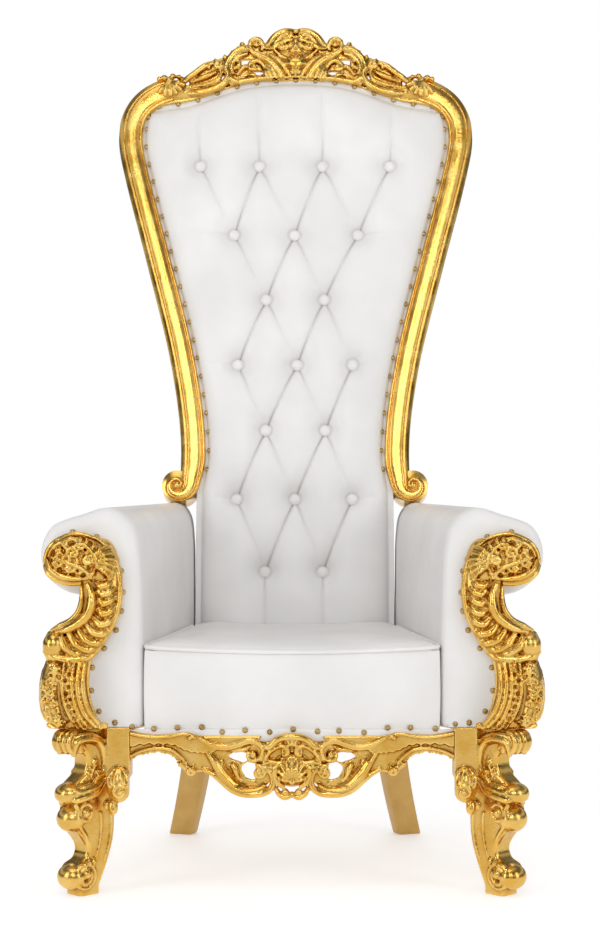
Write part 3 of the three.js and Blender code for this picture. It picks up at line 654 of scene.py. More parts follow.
    # The cartouche: flower, shell and pedestal
    ball(0, 62, 52, -2, tall=42, deep=17, segments=36)
    rim = [(0, 97.9), (-20.9, 93.3), (-37.5, 83.7), (-48.9, 75.9), (-37.5, 61.6), (-20.9, 51.2),
           (0, 47.3), (21.1, 51.2), (37.7, 61.6), (49.2, 75.9), (37.7, 83.7), (21.1, 93.3), (0, 97.9)]
    bar(rim, [3, 3], 14)
    for i in range(5):
        angle = math.radians(90 + i * 72)
        ball(11.5 * math.cos(angle), 79 + 11.5 * math.sin(angle), 7, 17, deep=6)
    ball(0, 79, 5, 22)
    for side in (-1, 1):
        carving.leaf([(side * 17, 77), (side * 29, 78), (side * 42, 76)], 9, 15, lobes=3)
        carving.leaf([(side * 8, 98), (side * 18, 101), (side * 30, 97)], 8, 13, lobes=3)
    for i in range(7):
        angle = math.radians(90 + (i - 3) * 24)
        bar([(0, 30), (25 * math.cos(angle), 33 + 24 * math.sin(angle))], [2, 4.8, 3.8], [16, 22, 16])
    carving.leaf([(0, 33), (0, 23), (0, 15)], 13, 13, lobes=3)
    for i in range(-3, 4):
        ball(i * 8.6, 9 - abs(i), 4.4, 12)
    ball(0, 119, 6, 8)
    bm = carving.toBmesh()
    rear, half = throne["backDepth"], crestShape["railBoard"] / 2
    board = [(-half, rear), (-half, 0), (half, 0), (half, rear)]
    sectionBar(bm, board, [Vector(p) for p in railLine], [w * 2 for w in halfWidths])
    cutPlane(bm, (0, rear, 0), (0, 1, 0))
    obj = finishPiece(bm, "carvedCrest", onBack, carvedGold, "gilded_wood", ["crest"])
    growTogether(obj, crestShape["voxel"])


# Stiles: the gilded mouldings at both sides of the back, curled outwards at the foot

stileShape = {
    "width": 54, "topWidth": 63, "straight": 0.83, "tail": 9, "curl": 26, "curlX": 256, "curlZ": 456,
    "turns": 430, "start": 185, "inner": 0.2, "step": 7, "drum": 35, "drumDeep": 66, "drumMiddle": 24,
    "eye": 8.5, "eyeMiddle": -10, "round": 0.0006,
}
stilePoints = [(283, 1371), (306, 1362), (329, 1349), (350, 1329), (366, 1299), (371, 1265), (370, 1232),
               (354.6, 1158.6), (305.9, 972), (250.9, 751), (227.1, 605.7), (222, 520), (224, 492)]
stileSection = [
    (-0.5, 64), (-0.5, 0), (-0.47, -5), (-0.4, -9.5), (-0.3, -12.5), (-0.262, -13), (-0.252, -10),
    (-0.238, -10), (-0.228, -13.5), (-0.2, -15.2), (-0.1, -15.8), (0.02, -15.9), (0.15, -15.5),
    (0.27, -14.6), (0.335, -12.6), (0.345, -9), (0.362, -9), (0.375, -12), (0.41, -14), (0.455, -13.4),
    (0.487, -9.5), (0.5, -2), (0.5, 64),
]
stileMiddle = smoothPath(stilePoints, 14)


def makeStile():
    curl = scroll(stileShape["curlX"], stileShape["curlZ"], stileShape["curl"],
                  stileShape["start"], stileShape["turns"], stileShape["inner"])
    path = evenly(smoothPath(stilePoints + [(227, 474)] + curl, 10), stileShape["step"])
    count = len(path)
    straight = stileShape["straight"]
    widths = []
    for i in range(count):
        share = i / (count - 1)
        wide = lerp(stileShape["topWidth"], stileShape["width"], clamp(share * 8))
        widths.append(lerp(wide, stileShape["tail"], smoothStep((share - straight) / (1 - straight))))
    bm = bmesh.new()
    sectionBar(bm, stileSection, path, widths)
    centre = (stileShape["curlX"], stileShape["drumMiddle"], stileShape["curlZ"])
    drum = Matrix.Translation(centre) @ Matrix.Rotation(math.pi / 2, 4, "X")
    radius, eye = stileShape["drum"], stileShape["eye"]
    bmesh.ops.create_cone(bm, cap_ends=True, segments=40, radius1=radius, radius2=radius - 2,
                          depth=stileShape["drumDeep"], matrix=drum)
    eye = (Matrix.Translation((centre[0], stileShape["eyeMiddle"], centre[2]))
           @ Matrix.Diagonal((eye, eye - 0.5, eye, 1)))
    bmesh.ops.create_uvsphere(bm, u_segments=20, v_segments=12, radius=1, matrix=eye)
    bmesh.ops.recalc_face_normals(bm, faces=bm.faces)
    obj = finishPiece(bm, "stileRight", onBack, plainGold, "gilded_wood", ["stile_right"])
    addModifier(obj, "BEVEL", width=stileShape["round"], segments=1, limit_method="ANGLE")
    bakeModifiers(obj)
    mirrored(obj, "stileLeft", ["stile_left"])


# The padded back, with its buttons and creases, and painted shade along the creases and round the buttons

backShape = {
    "border": 13, "swellOver": 92, "crown": 38, "edge": 48, "foot": -11.5, "shoulder": 1311,
    "footHalf": 214, "footTop": 440, "panel": 58, "panelCrown": 5, "columns": 230, "rows": 480,
    "dimple": 24, "dimpleWide": 21, "flat": 8, "crease": 7, "creaseWide": 2.8, "valley": 3.5,
    "valleyWide": 17, "fadeIn": 40, "ripple": 1.6, "rippleWide": 60,
    "overTop": 3, "panelWider": 2, "panelOver": 60, "panelLower": 30, "underStile": 6,
}
buttonShape = {"radius": 13.2, "tall": 7.5, "proud": 6.5}
# Which buttons a crease joins, and how strong each kind of crease is, in its depth and in its painted shade
creaseShape = {"fall": (100, 200), "aside": 100, "right": 0.85, "outer": 0.8, "side": 0.35, "fade": 0.75,
               "belowTop": 12, "foot": 90, "insideRim": 16, "reach": 60, "dimpleReach": 90}
# How the painted shade is laid: the shadow ring round each button, and the dark lines along the creases
paintedShadeLook = {"ring": 14, "ringWide": 2.6, "ringDark": 0.38, "lineWide": 2.3, "fadeOut": 1.3, "even": 0.55,
            "ringReach": 30, "lineReach": 12}
buttonRows = [
    (1183, (-213, -81, 60, 211)), (1022, (-136, -2, 139)), (873, (-64, 64)), (724, (-126, 4, 126)),
    (577, (-64, 66)), (424, (-126, 0, 124)), (265, (-64, 60)),
]
buttonPlaces = [(x, height) for height, places in buttonRows for x in places]
padEdge = [(p.y, p.x - stileShape["width"] / 2 + backShape["underStile"])
           for p in reversed(evenly(stileMiddle, 20))]


def padHalf(height):
    foot = (backShape["footTop"], backShape["footHalf"])
    if height <= foot[0]:
        return foot[1]
    line = [foot] + [(z, x) for z, x in padEdge if z > 500]
    for (lowZ, lowX), (highZ, highX) in zip(line, line[1:]):
        if height <= highZ:
            return lerp(lowX, highX, (height - lowZ) / (highZ - lowZ))
    return line[-1][1]


def creaseLines():
    nearest, furthest = creaseShape["fall"]
    lines = []
    for i, (x, z) in enumerate(buttonPlaces):
        for nextX, nextZ in buttonPlaces[i + 1:]:
            if nearest <= z - nextZ <= furthest and abs(nextX - x) <= creaseShape["aside"]:
                lines.append(((x, z), (nextX, nextZ), 1 if nextX < x else creaseShape["right"]))
    for x in buttonRows[0][1]:
        top = padTopEdge(x) - creaseShape["belowTop"]
        lines.append(((x, buttonRows[0][0]), (x * 1.04, top), creaseShape["outer"]))
    for x in buttonRows[-1][1]:
        lines.append(((x, buttonRows[-1][0]), (x * 1.03, creaseShape["foot"]), creaseShape["outer"]))
    for height, places in buttonRows[1:]:
        for x in (places[0], places[-1]):
            if abs(x) > 100:
                side = 1 if x > 0 else -1
                rim = side * (padHalf(height) - creaseShape["insideRim"])
                lines.append(((x, height), (rim, height + 4), creaseShape["side"]))
    return lines


creases = creaseLines()


def nearCreases(x, height, reach):
    # Each crease whose box lies within reach: how far off it is, how far along it, its strength
    for start, end, share in creases:
        if (min(start[0], end[0]) - reach < x < max(start[0], end[0]) + reach
                and min(start[1], end[1]) - reach < height < max(start[1], end[1]) + reach):
            away, along = distanceTo(x, height, start, end)
            yield away, along, share


def distanceTo(x, z, start, end):
    dx, dz = end[0] - start[0], end[1] - start[1]
    share = clamp(((x - start[0]) * dx + (z - start[1]) * dz) / (dx * dx + dz * dz))
    return math.hypot(x - start[0] - dx * share, z - start[1] - dz * share), share


def padFront(x, height):
    edge = min(padHalf(height) - abs(x), padTopEdge(x) - height) - backShape["border"]
    rise = clamp(edge / backShape["swellOver"])
    swell = backShape["crown"] * math.sqrt(rise * (2 - rise))
    sunk = 0
    for bx, bz in buttonPlaces:
        away = math.hypot(x - bx, height - bz)
        if away < creaseShape["dimpleReach"]:
            slope = max(away - backShape["flat"], 0) / backShape["dimpleWide"]
            sunk = max(sunk, backShape["dimple"] * math.exp(-slope ** 1.35))
    fold = 0
    for away, along, share in nearCreases(x, height, creaseShape["reach"]):
        depth = (backShape["crease"] * math.exp(-(away / backShape["creaseWide"]))
                 + backShape["valley"] * math.exp(-(away / backShape["valleyWide"]) ** 2)) * share
        if share < 1:
            depth *= 1 - creaseShape["fade"] * along
        fold = max(fold, depth)
    fade = smoothStep(edge / backShape["fadeIn"])
    wide = backShape["rippleWide"]
    ripple = noise.noise((x / wide, height / wide, 3.1)) * backShape["ripple"] * fade
    return -swell + (sunk + fold) * fade + ripple


def foldShade(x, height):
    # Painted shade on the leather: dark lines along the creases, and a painted shadow ring round each
    # button
    shade = 0
    even = paintedShadeLook["even"]
    for bx, bz in buttonPlaces:
        away = math.hypot(x - bx, height - bz)
        if away < paintedShadeLook["ringReach"]:
            ring = (away - paintedShadeLook["ring"]) / paintedShadeLook["ringWide"]
            shade = max(shade, paintedShadeLook["ringDark"] * math.exp(-ring ** 2))
    for away, along, share in nearCreases(x, height, paintedShadeLook["lineReach"]):
        line = math.exp(-(away / paintedShadeLook["lineWide"]) ** 2) * share
        if share < 0.9:
            line *= clamp(1 - paintedShadeLook["fadeOut"] * along)
        shade = max(shade, line * (even + (1 - even) * math.cos(2 * math.pi * along)))
    return shade


def makeBack():
    bm = bmesh.new()
    paintedShadeLayer = bm.verts.layers.float.new("fold")
    columns, rows = backShape["columns"], backShape["rows"]
    bmesh.ops.create_grid(bm, x_segments=columns, y_segments=rows, size=1)
    for vert in bm.verts:
        across, up = vert.co.x, (vert.co.y + 1) / 2
        x = across * padHalf(lerp(backShape["foot"], backShape["shoulder"], up))
        height = lerp(backShape["foot"], padTopEdge(x) + backShape["overTop"], up)
        vert.co = (x, padFront(x, height), height)
        # Each vertex keeps its painted shade for the creases and the button rings
        vert[paintedShadeLayer] = foldShade(x, height)
    closeBehind(bm, backShape["edge"] - 0.5)
    padding = finishPiece(bm, "backPadding", onBack, whiteLeather, "white_leather", ["back_pad"])

    bm = bmesh.new()
    bmesh.ops.create_grid(bm, x_segments=40, y_segments=80, size=1)
    for vert in bm.verts:
        across, up = vert.co.x, (vert.co.y + 1) / 2
        x = across * (padHalf(lerp(backShape["foot"], backShape["shoulder"], up)) + backShape["panelWider"])
        height = lerp(backShape["foot"], padTopEdge(x) + backShape["overTop"], up)
        edge = min(padHalf(height) - abs(x), padTopEdge(x) - height, height + backShape["panelLower"])
        rise = smoothStep(edge / backShape["panelOver"])
        vert.co = (x, backShape["panel"] + backShape["panelCrown"] * rise, height)
    closeBehind(bm, backShape["edge"])
    panel = finishPiece(bm, "outsideBack", onBack, whiteLeather, "white_leather", ["back_panel"])

    bm = bmesh.new()
    radius, tall = buttonShape["radius"], buttonShape["tall"]
    for x, height in buttonPlaces:
        place = (Matrix.Translation((x, padFront(x, height) - buttonShape["proud"], height))
                 @ Matrix.Rotation(math.pi / 2, 4, "X") @ Matrix.Diagonal((radius, radius, tall, 1)))
        bmesh.ops.create_uvsphere(bm, u_segments=24, v_segments=14, radius=1, matrix=place)
    names = [f"button_{i + 1}" for i in range(len(buttonPlaces))]
    finishPiece(bm, "backButtons", onBack, whiteLeather, "white_leather", names)


# The seat

seatShape = {
    "front": 14, "rear": 492, "narrowsOver": 516, "foot": 298.3, "edge": 452, "crown": 18,
    "frontHalf": 277.5, "backHalf": 213, "puff": 8, "cuts": 44, "welt": 4.2, "corner": 10, "dip": 3,
    "lift": 7, "crownOver": 110, "ripple": 1.2, "rippleWide": 90,
}


def seatWidth(y):
    share = clamp((y - seatShape["front"]) / seatShape["narrowsOver"])
    return lerp(seatShape["frontHalf"], seatShape["backHalf"], share)


def seatBow(across):
    # The front edge dips in the middle and lifts towards the arms
    return lerp(-seatShape["dip"], seatShape["lift"], min(abs(across), 1) ** 2)


def makeSeat():
    bm = bmesh.new()
    bmesh.ops.create_cube(bm, size=2)
    bmesh.ops.subdivide_edges(bm, edges=bm.edges[:], cuts=seatShape["cuts"], use_grid_fill=True)
    for vert in bm.verts:
        a, b, c = vert.co
        height = lerp(seatShape["foot"], seatShape["edge"], (c + 1) / 2)
        rear = seatShape["rear"] + (height - throne["legTop"]) * math.tan(lean)
        height += seatBow(a) * (c + 1) / 2
        bulge = seatShape["puff"] * (1 - c * c) * (1 - min(abs(a), 1) ** 4)
        y = lerp(seatShape["front"], rear, (b + 1) / 2)
        if b < -0.999:
            y -= bulge
        half = seatWidth(y)
        x = a * half
        if abs(a) > 0.999:
            x += math.copysign(2 * (1 - c * c), a)
        if c > 0.999:
            edge = min(half - abs(x), y - seatShape["front"], (rear - y) + 40)
            rise = clamp(edge / seatShape["crownOver"])
            wide = seatShape["rippleWide"]
            ripple = noise.noise((x / wide, y / wide, 0)) * seatShape["ripple"]
            height += seatShape["crown"] * math.sqrt(rise * (2 - rise)) + ripple
        vert.co = (x, y, height)
    softenEdges(bm, 4)
    cushion = finishPiece(bm, "seatCushion", onFloor, whiteLeather, "white_leather", ["seat_pad"])
    bm = bmesh.new()
    beam(bm, (-303, 9, 283), (303, 13.7, 306), 1.5)
    finishPiece(bm, "frontBorder", onFloor, whiteLeather, "white_leather")
    z = seatShape["edge"] + 1
    corner = seatShape["corner"]
    half = seatShape["frontHalf"] - 1.5
    line = [(-seatWidth(470) + 3, 500, z), (-seatWidth(250), 250, z), (-half + 0.5, 13 + corner * 2, z),
            (-half + 3, 13 + corner * 0.6, z), (-half + corner, 13.5, z), (-150, 12.5, z), (0, 12, z),
            (150, 12.5, z), (half - corner, 13.5, z), (half - 3, 13 + corner * 0.6, z),
            (half - 0.5, 13 + corner * 2, z), (seatWidth(250), 250, z), (seatWidth(470) - 3, 500, z)]
    path = smoothPath(line, 8)
    for point in path:
        point.z += seatBow(point.x / seatWidth(point.y))
    tube("seatWelt", path, seatShape["welt"], onFloor, whiteLeather, "white_leather")


# The padded arms

armShape = {"front": 8, "deep": 560, "inner": 282, "innerBack": 216, "narrowing": 0.62, "foot": 310.3,
            "rim": 22, "along": 60, "frontRows": 6, "rearRows": 4,
            "roundRows": 4, "standing": 60, "hollow": 1.5, "spacing": 8}
armOutline = [
    (0, 310.3), (60, 310.3), (120, 310.3), (173, 310.3), (178, 345), (181, 385), (176, 420), (168, 446),
    (150, 478), (134, 502), (119, 524), (113, 545), (120, 556), (140, 561), (166, 575), (184, 594),
    (195, 625), (190, 660), (172, 688), (142, 701), (112, 710), (76, 721), (44, 714), (18, 690), (7, 645),
    (3, 560), (0, 440), (0, 340),
]
coreLine = [(92, 310.3), (90, 440), (70, 530), (62, 600), (90, 650), (130, 636)]
armCore = [(p.x, p.y) for p in evenly(smoothPath(coreLine, 8), 4)]


def outsideBack(z):
    return (throne["backFoot"] + throne["backDepth"] / math.cos(lean)
            + (z - throne["legTop"]) * math.tan(lean))


def armNarrowed(x, y):
    share = clamp((y - armShape["front"]) / armShape["deep"])
    return lerp(armShape["inner"], armShape["innerBack"], share) + x * lerp(1, armShape["narrowing"], share)


def makeArm():
    loop = evenly(smoothPath(armOutline + armOutline[:1], 8), armShape["spacing"])
    count = len(loop) - 1
    loop = loop[:count]
    bm = bmesh.new()
    rows, before, behind = armShape["along"], armShape["frontRows"], armShape["rearRows"]
    allRows = rows + before + behind
    bmesh.ops.create_grid(bm, x_segments=count, y_segments=allRows, size=1)
    for vert in bm.verts:
        around = round((vert.co.x + 1) / 2 * count) % count
        row = round((vert.co.y + 1) / 2 * allRows) - before
        here, ahead, last = loop[around], loop[(around + 1) % count], loop[around - 1]
        out = Vector((ahead.y - last.y, last.x - ahead.x)).normalized()
        front = clamp(row / armShape["roundRows"])
        inset = armShape["rim"] * (1 - math.sqrt(front * (2 - front)))
        standing = smoothStep((here.y - armShape["foot"]) / armShape["standing"])
        x, z = here.x - out.x * inset, here.y - out.y * inset * standing
        rest = clamp((row - armShape["roundRows"]) / (rows - armShape["roundRows"]))
        y = lerp(armShape["front"] + armShape["rim"] * front, outsideBack(z), rest)
        if row < 0 or row > rows:
            # The end face closes towards the middle line of the arm
            share = -row / before if row < 0 else (row - rows) / behind
            core = min(armCore, key=lambda p: (p[0] - x) ** 2 + (p[1] - z) ** 2)
            x, z = lerp(x, core[0], share), lerp(z, core[1], share)
            hollow = armShape["hollow"] * math.sin(share * math.pi / 2)
            y = armShape["front"] - hollow if row < 0 else outsideBack(z)
        vert.co = (armNarrowed(x, y), y, z)
    bmesh.ops.remove_doubles(bm, verts=bm.verts, dist=0.01)
    rims = [e for e in bm.edges if e.is_boundary]
    bmesh.ops.holes_fill(bm, edges=rims)
    bmesh.ops.recalc_face_normals(bm, faces=bm.faces)
    obj = finishPiece(bm, "armPadRight", onFloor, whiteLeather, "white_leather", ["arm_pad_right"])
    twin = mirrored(obj, "armPadLeft", ["arm_pad_left"])


# The carved fronts of the arms

facingShape = {"x": 282, "z": 310, "thick": 13, "bottom": 310.3, "behind": 0.3, "voxel": 1.7}
facingOutline = [(181.8, 304.9), (178.1, 326.1), (168.1, 347.3), (149.4, 358.5), (126.9, 365.2),
                 (104.5, 362.7), (79.5, 355.2), (62.1, 341), (49.6, 322.3), (40.9, 302.4), (37.1, 279.9),
                 (37.1, 254.9), (39.6, 230), (47.1, 207.5), (57.1, 182.6), (69.6, 160.1), (84.5, 140.2),
                 (93.3, 125.2), (97, 105.2), (98, 85.3), (96.5, 65.3), (92, 45.4), (84.5, 22.9),
                 (72.1, 5.4), (67.1, -5.8), (102, -10), (136.9, -7), (166.9, 5.4), (181.8, 16.7),
                 (188.1, 31.6), (191.3, 55.3), (190.3, 85.3), (185.6, 107.7), (176.8, 125.2),
                 (179.3, 133.9), (183.8, 147.7), (181.8, 165.1), (174.3, 180.1), (154.4, 188.8),
                 (136.9, 197.6), (122, 212.5), (115.7, 232.5), (114.5, 254.9), (113, 266.2), (131.9, 267.9),
                 (151.9, 273.7), (166.9, 283.6), (176.8, 293.6)]


def makeFacing():
    carving = Carving("facingCarving", 1.25)
    carving.setOut(1, facingShape["x"], facingShape["z"])
    bar, ball, leaf = carving.bar, carving.ball, carving.leaf
    carving.board(facingOutline, facingShape["thick"], facingShape["thick"])
    # The swelling forms beneath the carving: head, stem, ball, collar and block
    ball(122, 316.1, 51, 4, tall=43, deep=31, segments=36)
    ball(74, 303, 32, 0, tall=52, deep=26, segments=32)
    bar([(67.1, 337.3), (54.6, 304.9), (57.1, 272.4), (64.6, 240), (77, 210), (97, 182.6), (126.9, 160.1),
         (161.9, 155.1)], [12, 17, 22, 25, 27, 28, 27, 16],
        [9, 3, -1, -3, -5, -6, -4, 6])
    ball(162.5, 155, 20.5, 19, tall=25, deep=22, segments=32)
    ball(148, 148, 20, 10, tall=14, deep=20)
    bar([(178.1, 147.7), (166.9, 136.4), (146.9, 130.7), (122, 129.5), (97, 133.9), (83.3, 143.9)],
        [7, 9, 9, 8, 6], [20, 26, 27, 24, 14])
    bar([(143.2, 127.7), (149.4, 92.8), (146.9, 55.3), (131.9, 17.9), (114.5, -4.5)], [38, 45, 46, 42, 34],
        [-18, -26, -27, -22, -12])
    # Head: rims below and above, with crescents between them
    bar([(180.3, 304.9), (171.9, 289.9), (154.4, 277.9), (131.9, 271.9), (109.5, 271.9)], [4, 6, 7, 7, 5],
        [12, 20, 24, 24, 22])
    bar([(175.6, 316.1), (168.1, 298.6), (151.9, 286.9), (129.4, 280.4), (107, 279.9)], [3, 5, 6, 6, 4],
        [18, 26, 30, 31, 30])
    bar([(181.3, 308.6), (175.6, 329.8), (164.4, 345.5), (146.9, 356.2), (124.4, 363.2), (102, 360.7),
         (80.8, 353.8)], [3, 4, 4, 4, 3], [12, 17, 19, 19, 18])
    bar([(171.9, 319.8), (164.4, 336), (149.4, 347.3), (130.7, 353.5), (109.5, 352.8)], [2, 4, 5, 5, 3],
        [22, 26, 30, 31, 28], "split")
    # Leafwork over the head
    leaf([(89.5, 279.9), (104.5, 297.4), (126.9, 307.3), (149.4, 314.8), (166.9, 321.1)], 17, 32, lobes=6)
    leaf([(79.5, 304.9), (87, 327.3), (102, 342.3), (122, 351)], 15, 32, lobes=5)
    bar(scroll(124.4, 328.6, 12, -30, 420, 0.3), [3, 4.5, 4.5, 4, 3], [34, 38, 36], "split")
    bar(scroll(98.2, 316.1, 10, 120, 380, 0.3), [3, 4, 4, 3], [36, 38, 34])
    ball(124.4, 328.6, 4, 38)
    ball(97, 316.1, 4, 38)
    for x, z, lift in ((151.9, 332.3, 28), (139.4, 342.3, 30), (114.5, 342.3, 31), (156.9, 304.9, 27),
                       (134.4, 297.4, 31)):
        for turn in (20, 140, 260):
            bar(sprig(x, z, turn, 8), [2.5, 4, 2], [lift + 3, lift + 5, lift], "split")
    # Ribs that radiate over the shoulder to the rim
    for i in range(6):
        turn = math.radians(lerp(62, -22, i / 5))
        inner = (92, 307.3)
        bar([(inner[0] - 8 * math.cos(turn), inner[1] + 8 * math.sin(turn)),
             (inner[0] - 28 * math.cos(turn - 0.12), inner[1] + 28 * math.sin(turn - 0.12)),
             (inner[0] - 44 * math.cos(turn - 0.3), inner[1] + 46 * math.sin(turn - 0.3))],
            [4, 7, 4], [30, 30, 18], "split")
    bar([(79.5, 352.8), (60.8, 335.3), (47.6, 312.3), (40.1, 287.4), (38.1, 259.9), (40.1, 232.5),
         (47.1, 205), (59.1, 180.1), (72.1, 157.6), (87, 138.9)],
        [3, 4, 4, 4.5, 5, 5, 4.5, 4, 3], [16, 16, 17, 20, 22, 22, 22, 22, 20])
    # Two smooth bands down the outer side of the stem
    bar([(99, 272.4), (91.5, 252.5), (90.8, 232.5), (98.2, 212.5), (115.7, 196.3), (138.2, 185.1),
         (159.4, 180.1)], [5, 8, 10, 10, 9, 7, 4], [30, 32, 34, 33, 31, 28, 20])
    bar([(110.7, 267.4), (109.5, 242.5), (114.5, 220), (128.2, 203.1), (149.4, 192.1), (168.1, 182.6)],
        [3, 5, 6, 6, 6, 3], [20, 24, 25, 25, 23, 16])
    # Cupped ribs across the stem, each from the smooth band to the rim
    ribs = [
        [(83.3, 272.4), (73.3, 266.2), (62.1, 268.7), (49.6, 279.9)],
        [(80, 258.7), (69.6, 251.2), (58.3, 254.9), (45.9, 267.4)],
        [(79.5, 242.5), (69.6, 233.7), (57.1, 238.7), (44.1, 252.5)],
        [(80.8, 225), (69.6, 215), (57.1, 220), (45.9, 235)],
        [(87, 207.5), (74.5, 195.1), (59.6, 200.1), (49.1, 215)],
        [(99.5, 193.8), (87, 180.1), (69.6, 177.6), (55.8, 193.8)],
        [(114.5, 182.6), (102, 167.6), (82, 160.1), (65.8, 173.9)],
        [(133.2, 177.1), (119.5, 158.9), (97, 147.7), (78.3, 155.1)],
        [(148.1, 172.6), (140.7, 153.9), (122, 141.4), (93.3, 139.7)],
    ]
    for i, rib in enumerate(ribs):
        wide = lerp(7.2, 8.8, i / 8)
        bar(rib, [wide * 0.75, wide, wide, wide * 0.7], [24, 29, 27, 14])
    # The block: a relief panel, a leaf strip between fillets, and flutes
    bar([(161.9, 122.7), (165.9, 92.8), (166.9, 57.8), (159.4, 30.4), (143.2, 7.9)], [14, 20, 22, 20, 14],
        [18, 18, 16, 18, 20])
    for line, wide in (([(140.7, 124), (144.9, 90.3), (141.4, 55.3), (129.4, 22.9), (112, -3.3)], 3.2),
                       ([(122.9, 124), (126.4, 90.3), (122.9, 55.3), (110.7, 22.9), (90.8, -2)], 3.2),
                       ([(112.5, 124.7), (116, 90.3), (112.5, 55.3), (100.7, 25.4), (82, 3)], 4.6),
                       ([(102.5, 124.7), (105.5, 90.3), (102, 57.8), (92, 30.4), (77, 10.4)], 4.6)):
        bar(line, [wide * 0.8, wide, wide, wide * 0.8], [32, 40, 41, 39, 28])
    strip = smoothPath(carving.at([(131.4, 121.5), (135.4, 90.3), (131.9, 55.3), (120, 22.9), (102, -2)]),
                       8)
    for i, place in enumerate(evenly(strip, 12)):
        swing = 4 if i % 2 else -4
        carving.lay([(place.x - swing, place.y + 7), (place.x, place.y), (place.x + swing, place.y - 5)],
                    [2, 4.4, 2], [36, 40, 36], "split")
    leaf([(155.6, 122.7), (156.9, 107.7), (159.4, 92.8), (161.9, 80.3)], 13, 42, lobes=4)
    ball(156.9, 111.5, 6, 46, tall=11)
    bar(scroll(176.8, 57.8, 9, 40, 400, 0.3), [3, 4, 3.5, 2.5], [38, 44, 44], "split")
    bar(scroll(159.4, 47.9, 8, 200, -380, 0.3), [3, 4, 3.5, 2.5], [44, 47, 45], "split")
    leaf([(179.3, 85.3), (174.3, 72.8), (164.4, 65.3), (154.4, 62.8)], 10, 42, lobes=3)
    leaf([(166.9, 10.4), (164.4, 22.9), (168.1, 35.4), (176.8, 42.9)], 12, 38, lobes=4)
    leaf([(149.4, 5.4), (149.4, 17.9), (151.9, 30.4)], 9, 40, lobes=3)
    # The small curl at the foot
    bar([(94.5, 30.4), (79.5, 10.4), (64.6, 5.4)] + scroll(67.1, -0.8, 8, 90, -380, 0.3),
        [4, 6, 6, 5, 4, 3], [26, 26, 24])
    leaf([(87, 12.9), (77, 0.5), (57.1, -4.5)], 9, 24, lobes=3)
    bar([(174.3, 7.9), (151.9, -3.3), (122, -7.8), (89.5, -8.5)], [5, 7, 7, 5], [14, 24, 28, 20])
    bm = carving.toBmesh()
    cutPlane(bm, (0, 0, 0), (0, 1, 0))
    cutPlane(bm, (0, 0, facingShape["bottom"]), (0, 0, -1))
    place = onFloor @ Matrix.Translation((0, armShape["front"] - facingShape["behind"], 0))
    obj = finishPiece(bm, "facingRight", place, carvedGold, "gilded_wood", ["arm_facing_right"])
    growTogether(obj, facingShape["voxel"])
    mirrored(obj, "facingLeft", ["arm_facing_left"])


# Front legs, cut in a plane that looks outwards over the corner

legShape = {
    "corner": 389, "half": 20, "edge": 6, "lip": 41, "inner": 304, "rear": 68, "plate": 40, "voxel": 1.8,
    "rolls": ((30, 36, 25, 24), (31, 144, 26, 25), (35, 191, 27, 21), (34, 287, 28, 22)),
    "plank": (((325.5, 33, 262), (43, 70, 96)), ((337, 42, 262), (66, 51, 96)),
              ((367, 53, 288), (126, 30, 44))),
}
legFront = [
    (0, 0), (24, 0), (25, 10), (28, 18), (34, 28), (36, 40), (33, 52), (25, 61), (14, 68), (8, 78), (8, 90),
    (15, 103), (25, 115), (34, 127), (38, 138), (39, 150), (37, 162), (36, 170), (40, 182), (42, 194),
    (37, 206), (26, 216), (14, 226), (8, 240), (8, 254), (14, 264), (28, 268), (38, 276), (42, 288),
    (40, 300), (34, 310),
]
legRear = [
    (-50, 310), (-56, 235), (-58, 168), (-60, 138), (-56, 98), (-46, 66), (-33, 36), (-23, 14), (-20, 0),
]
legOutline = [(p.x, p.y) for p in smoothPath(legFront, 4) + smoothPath(legRear, 4)]


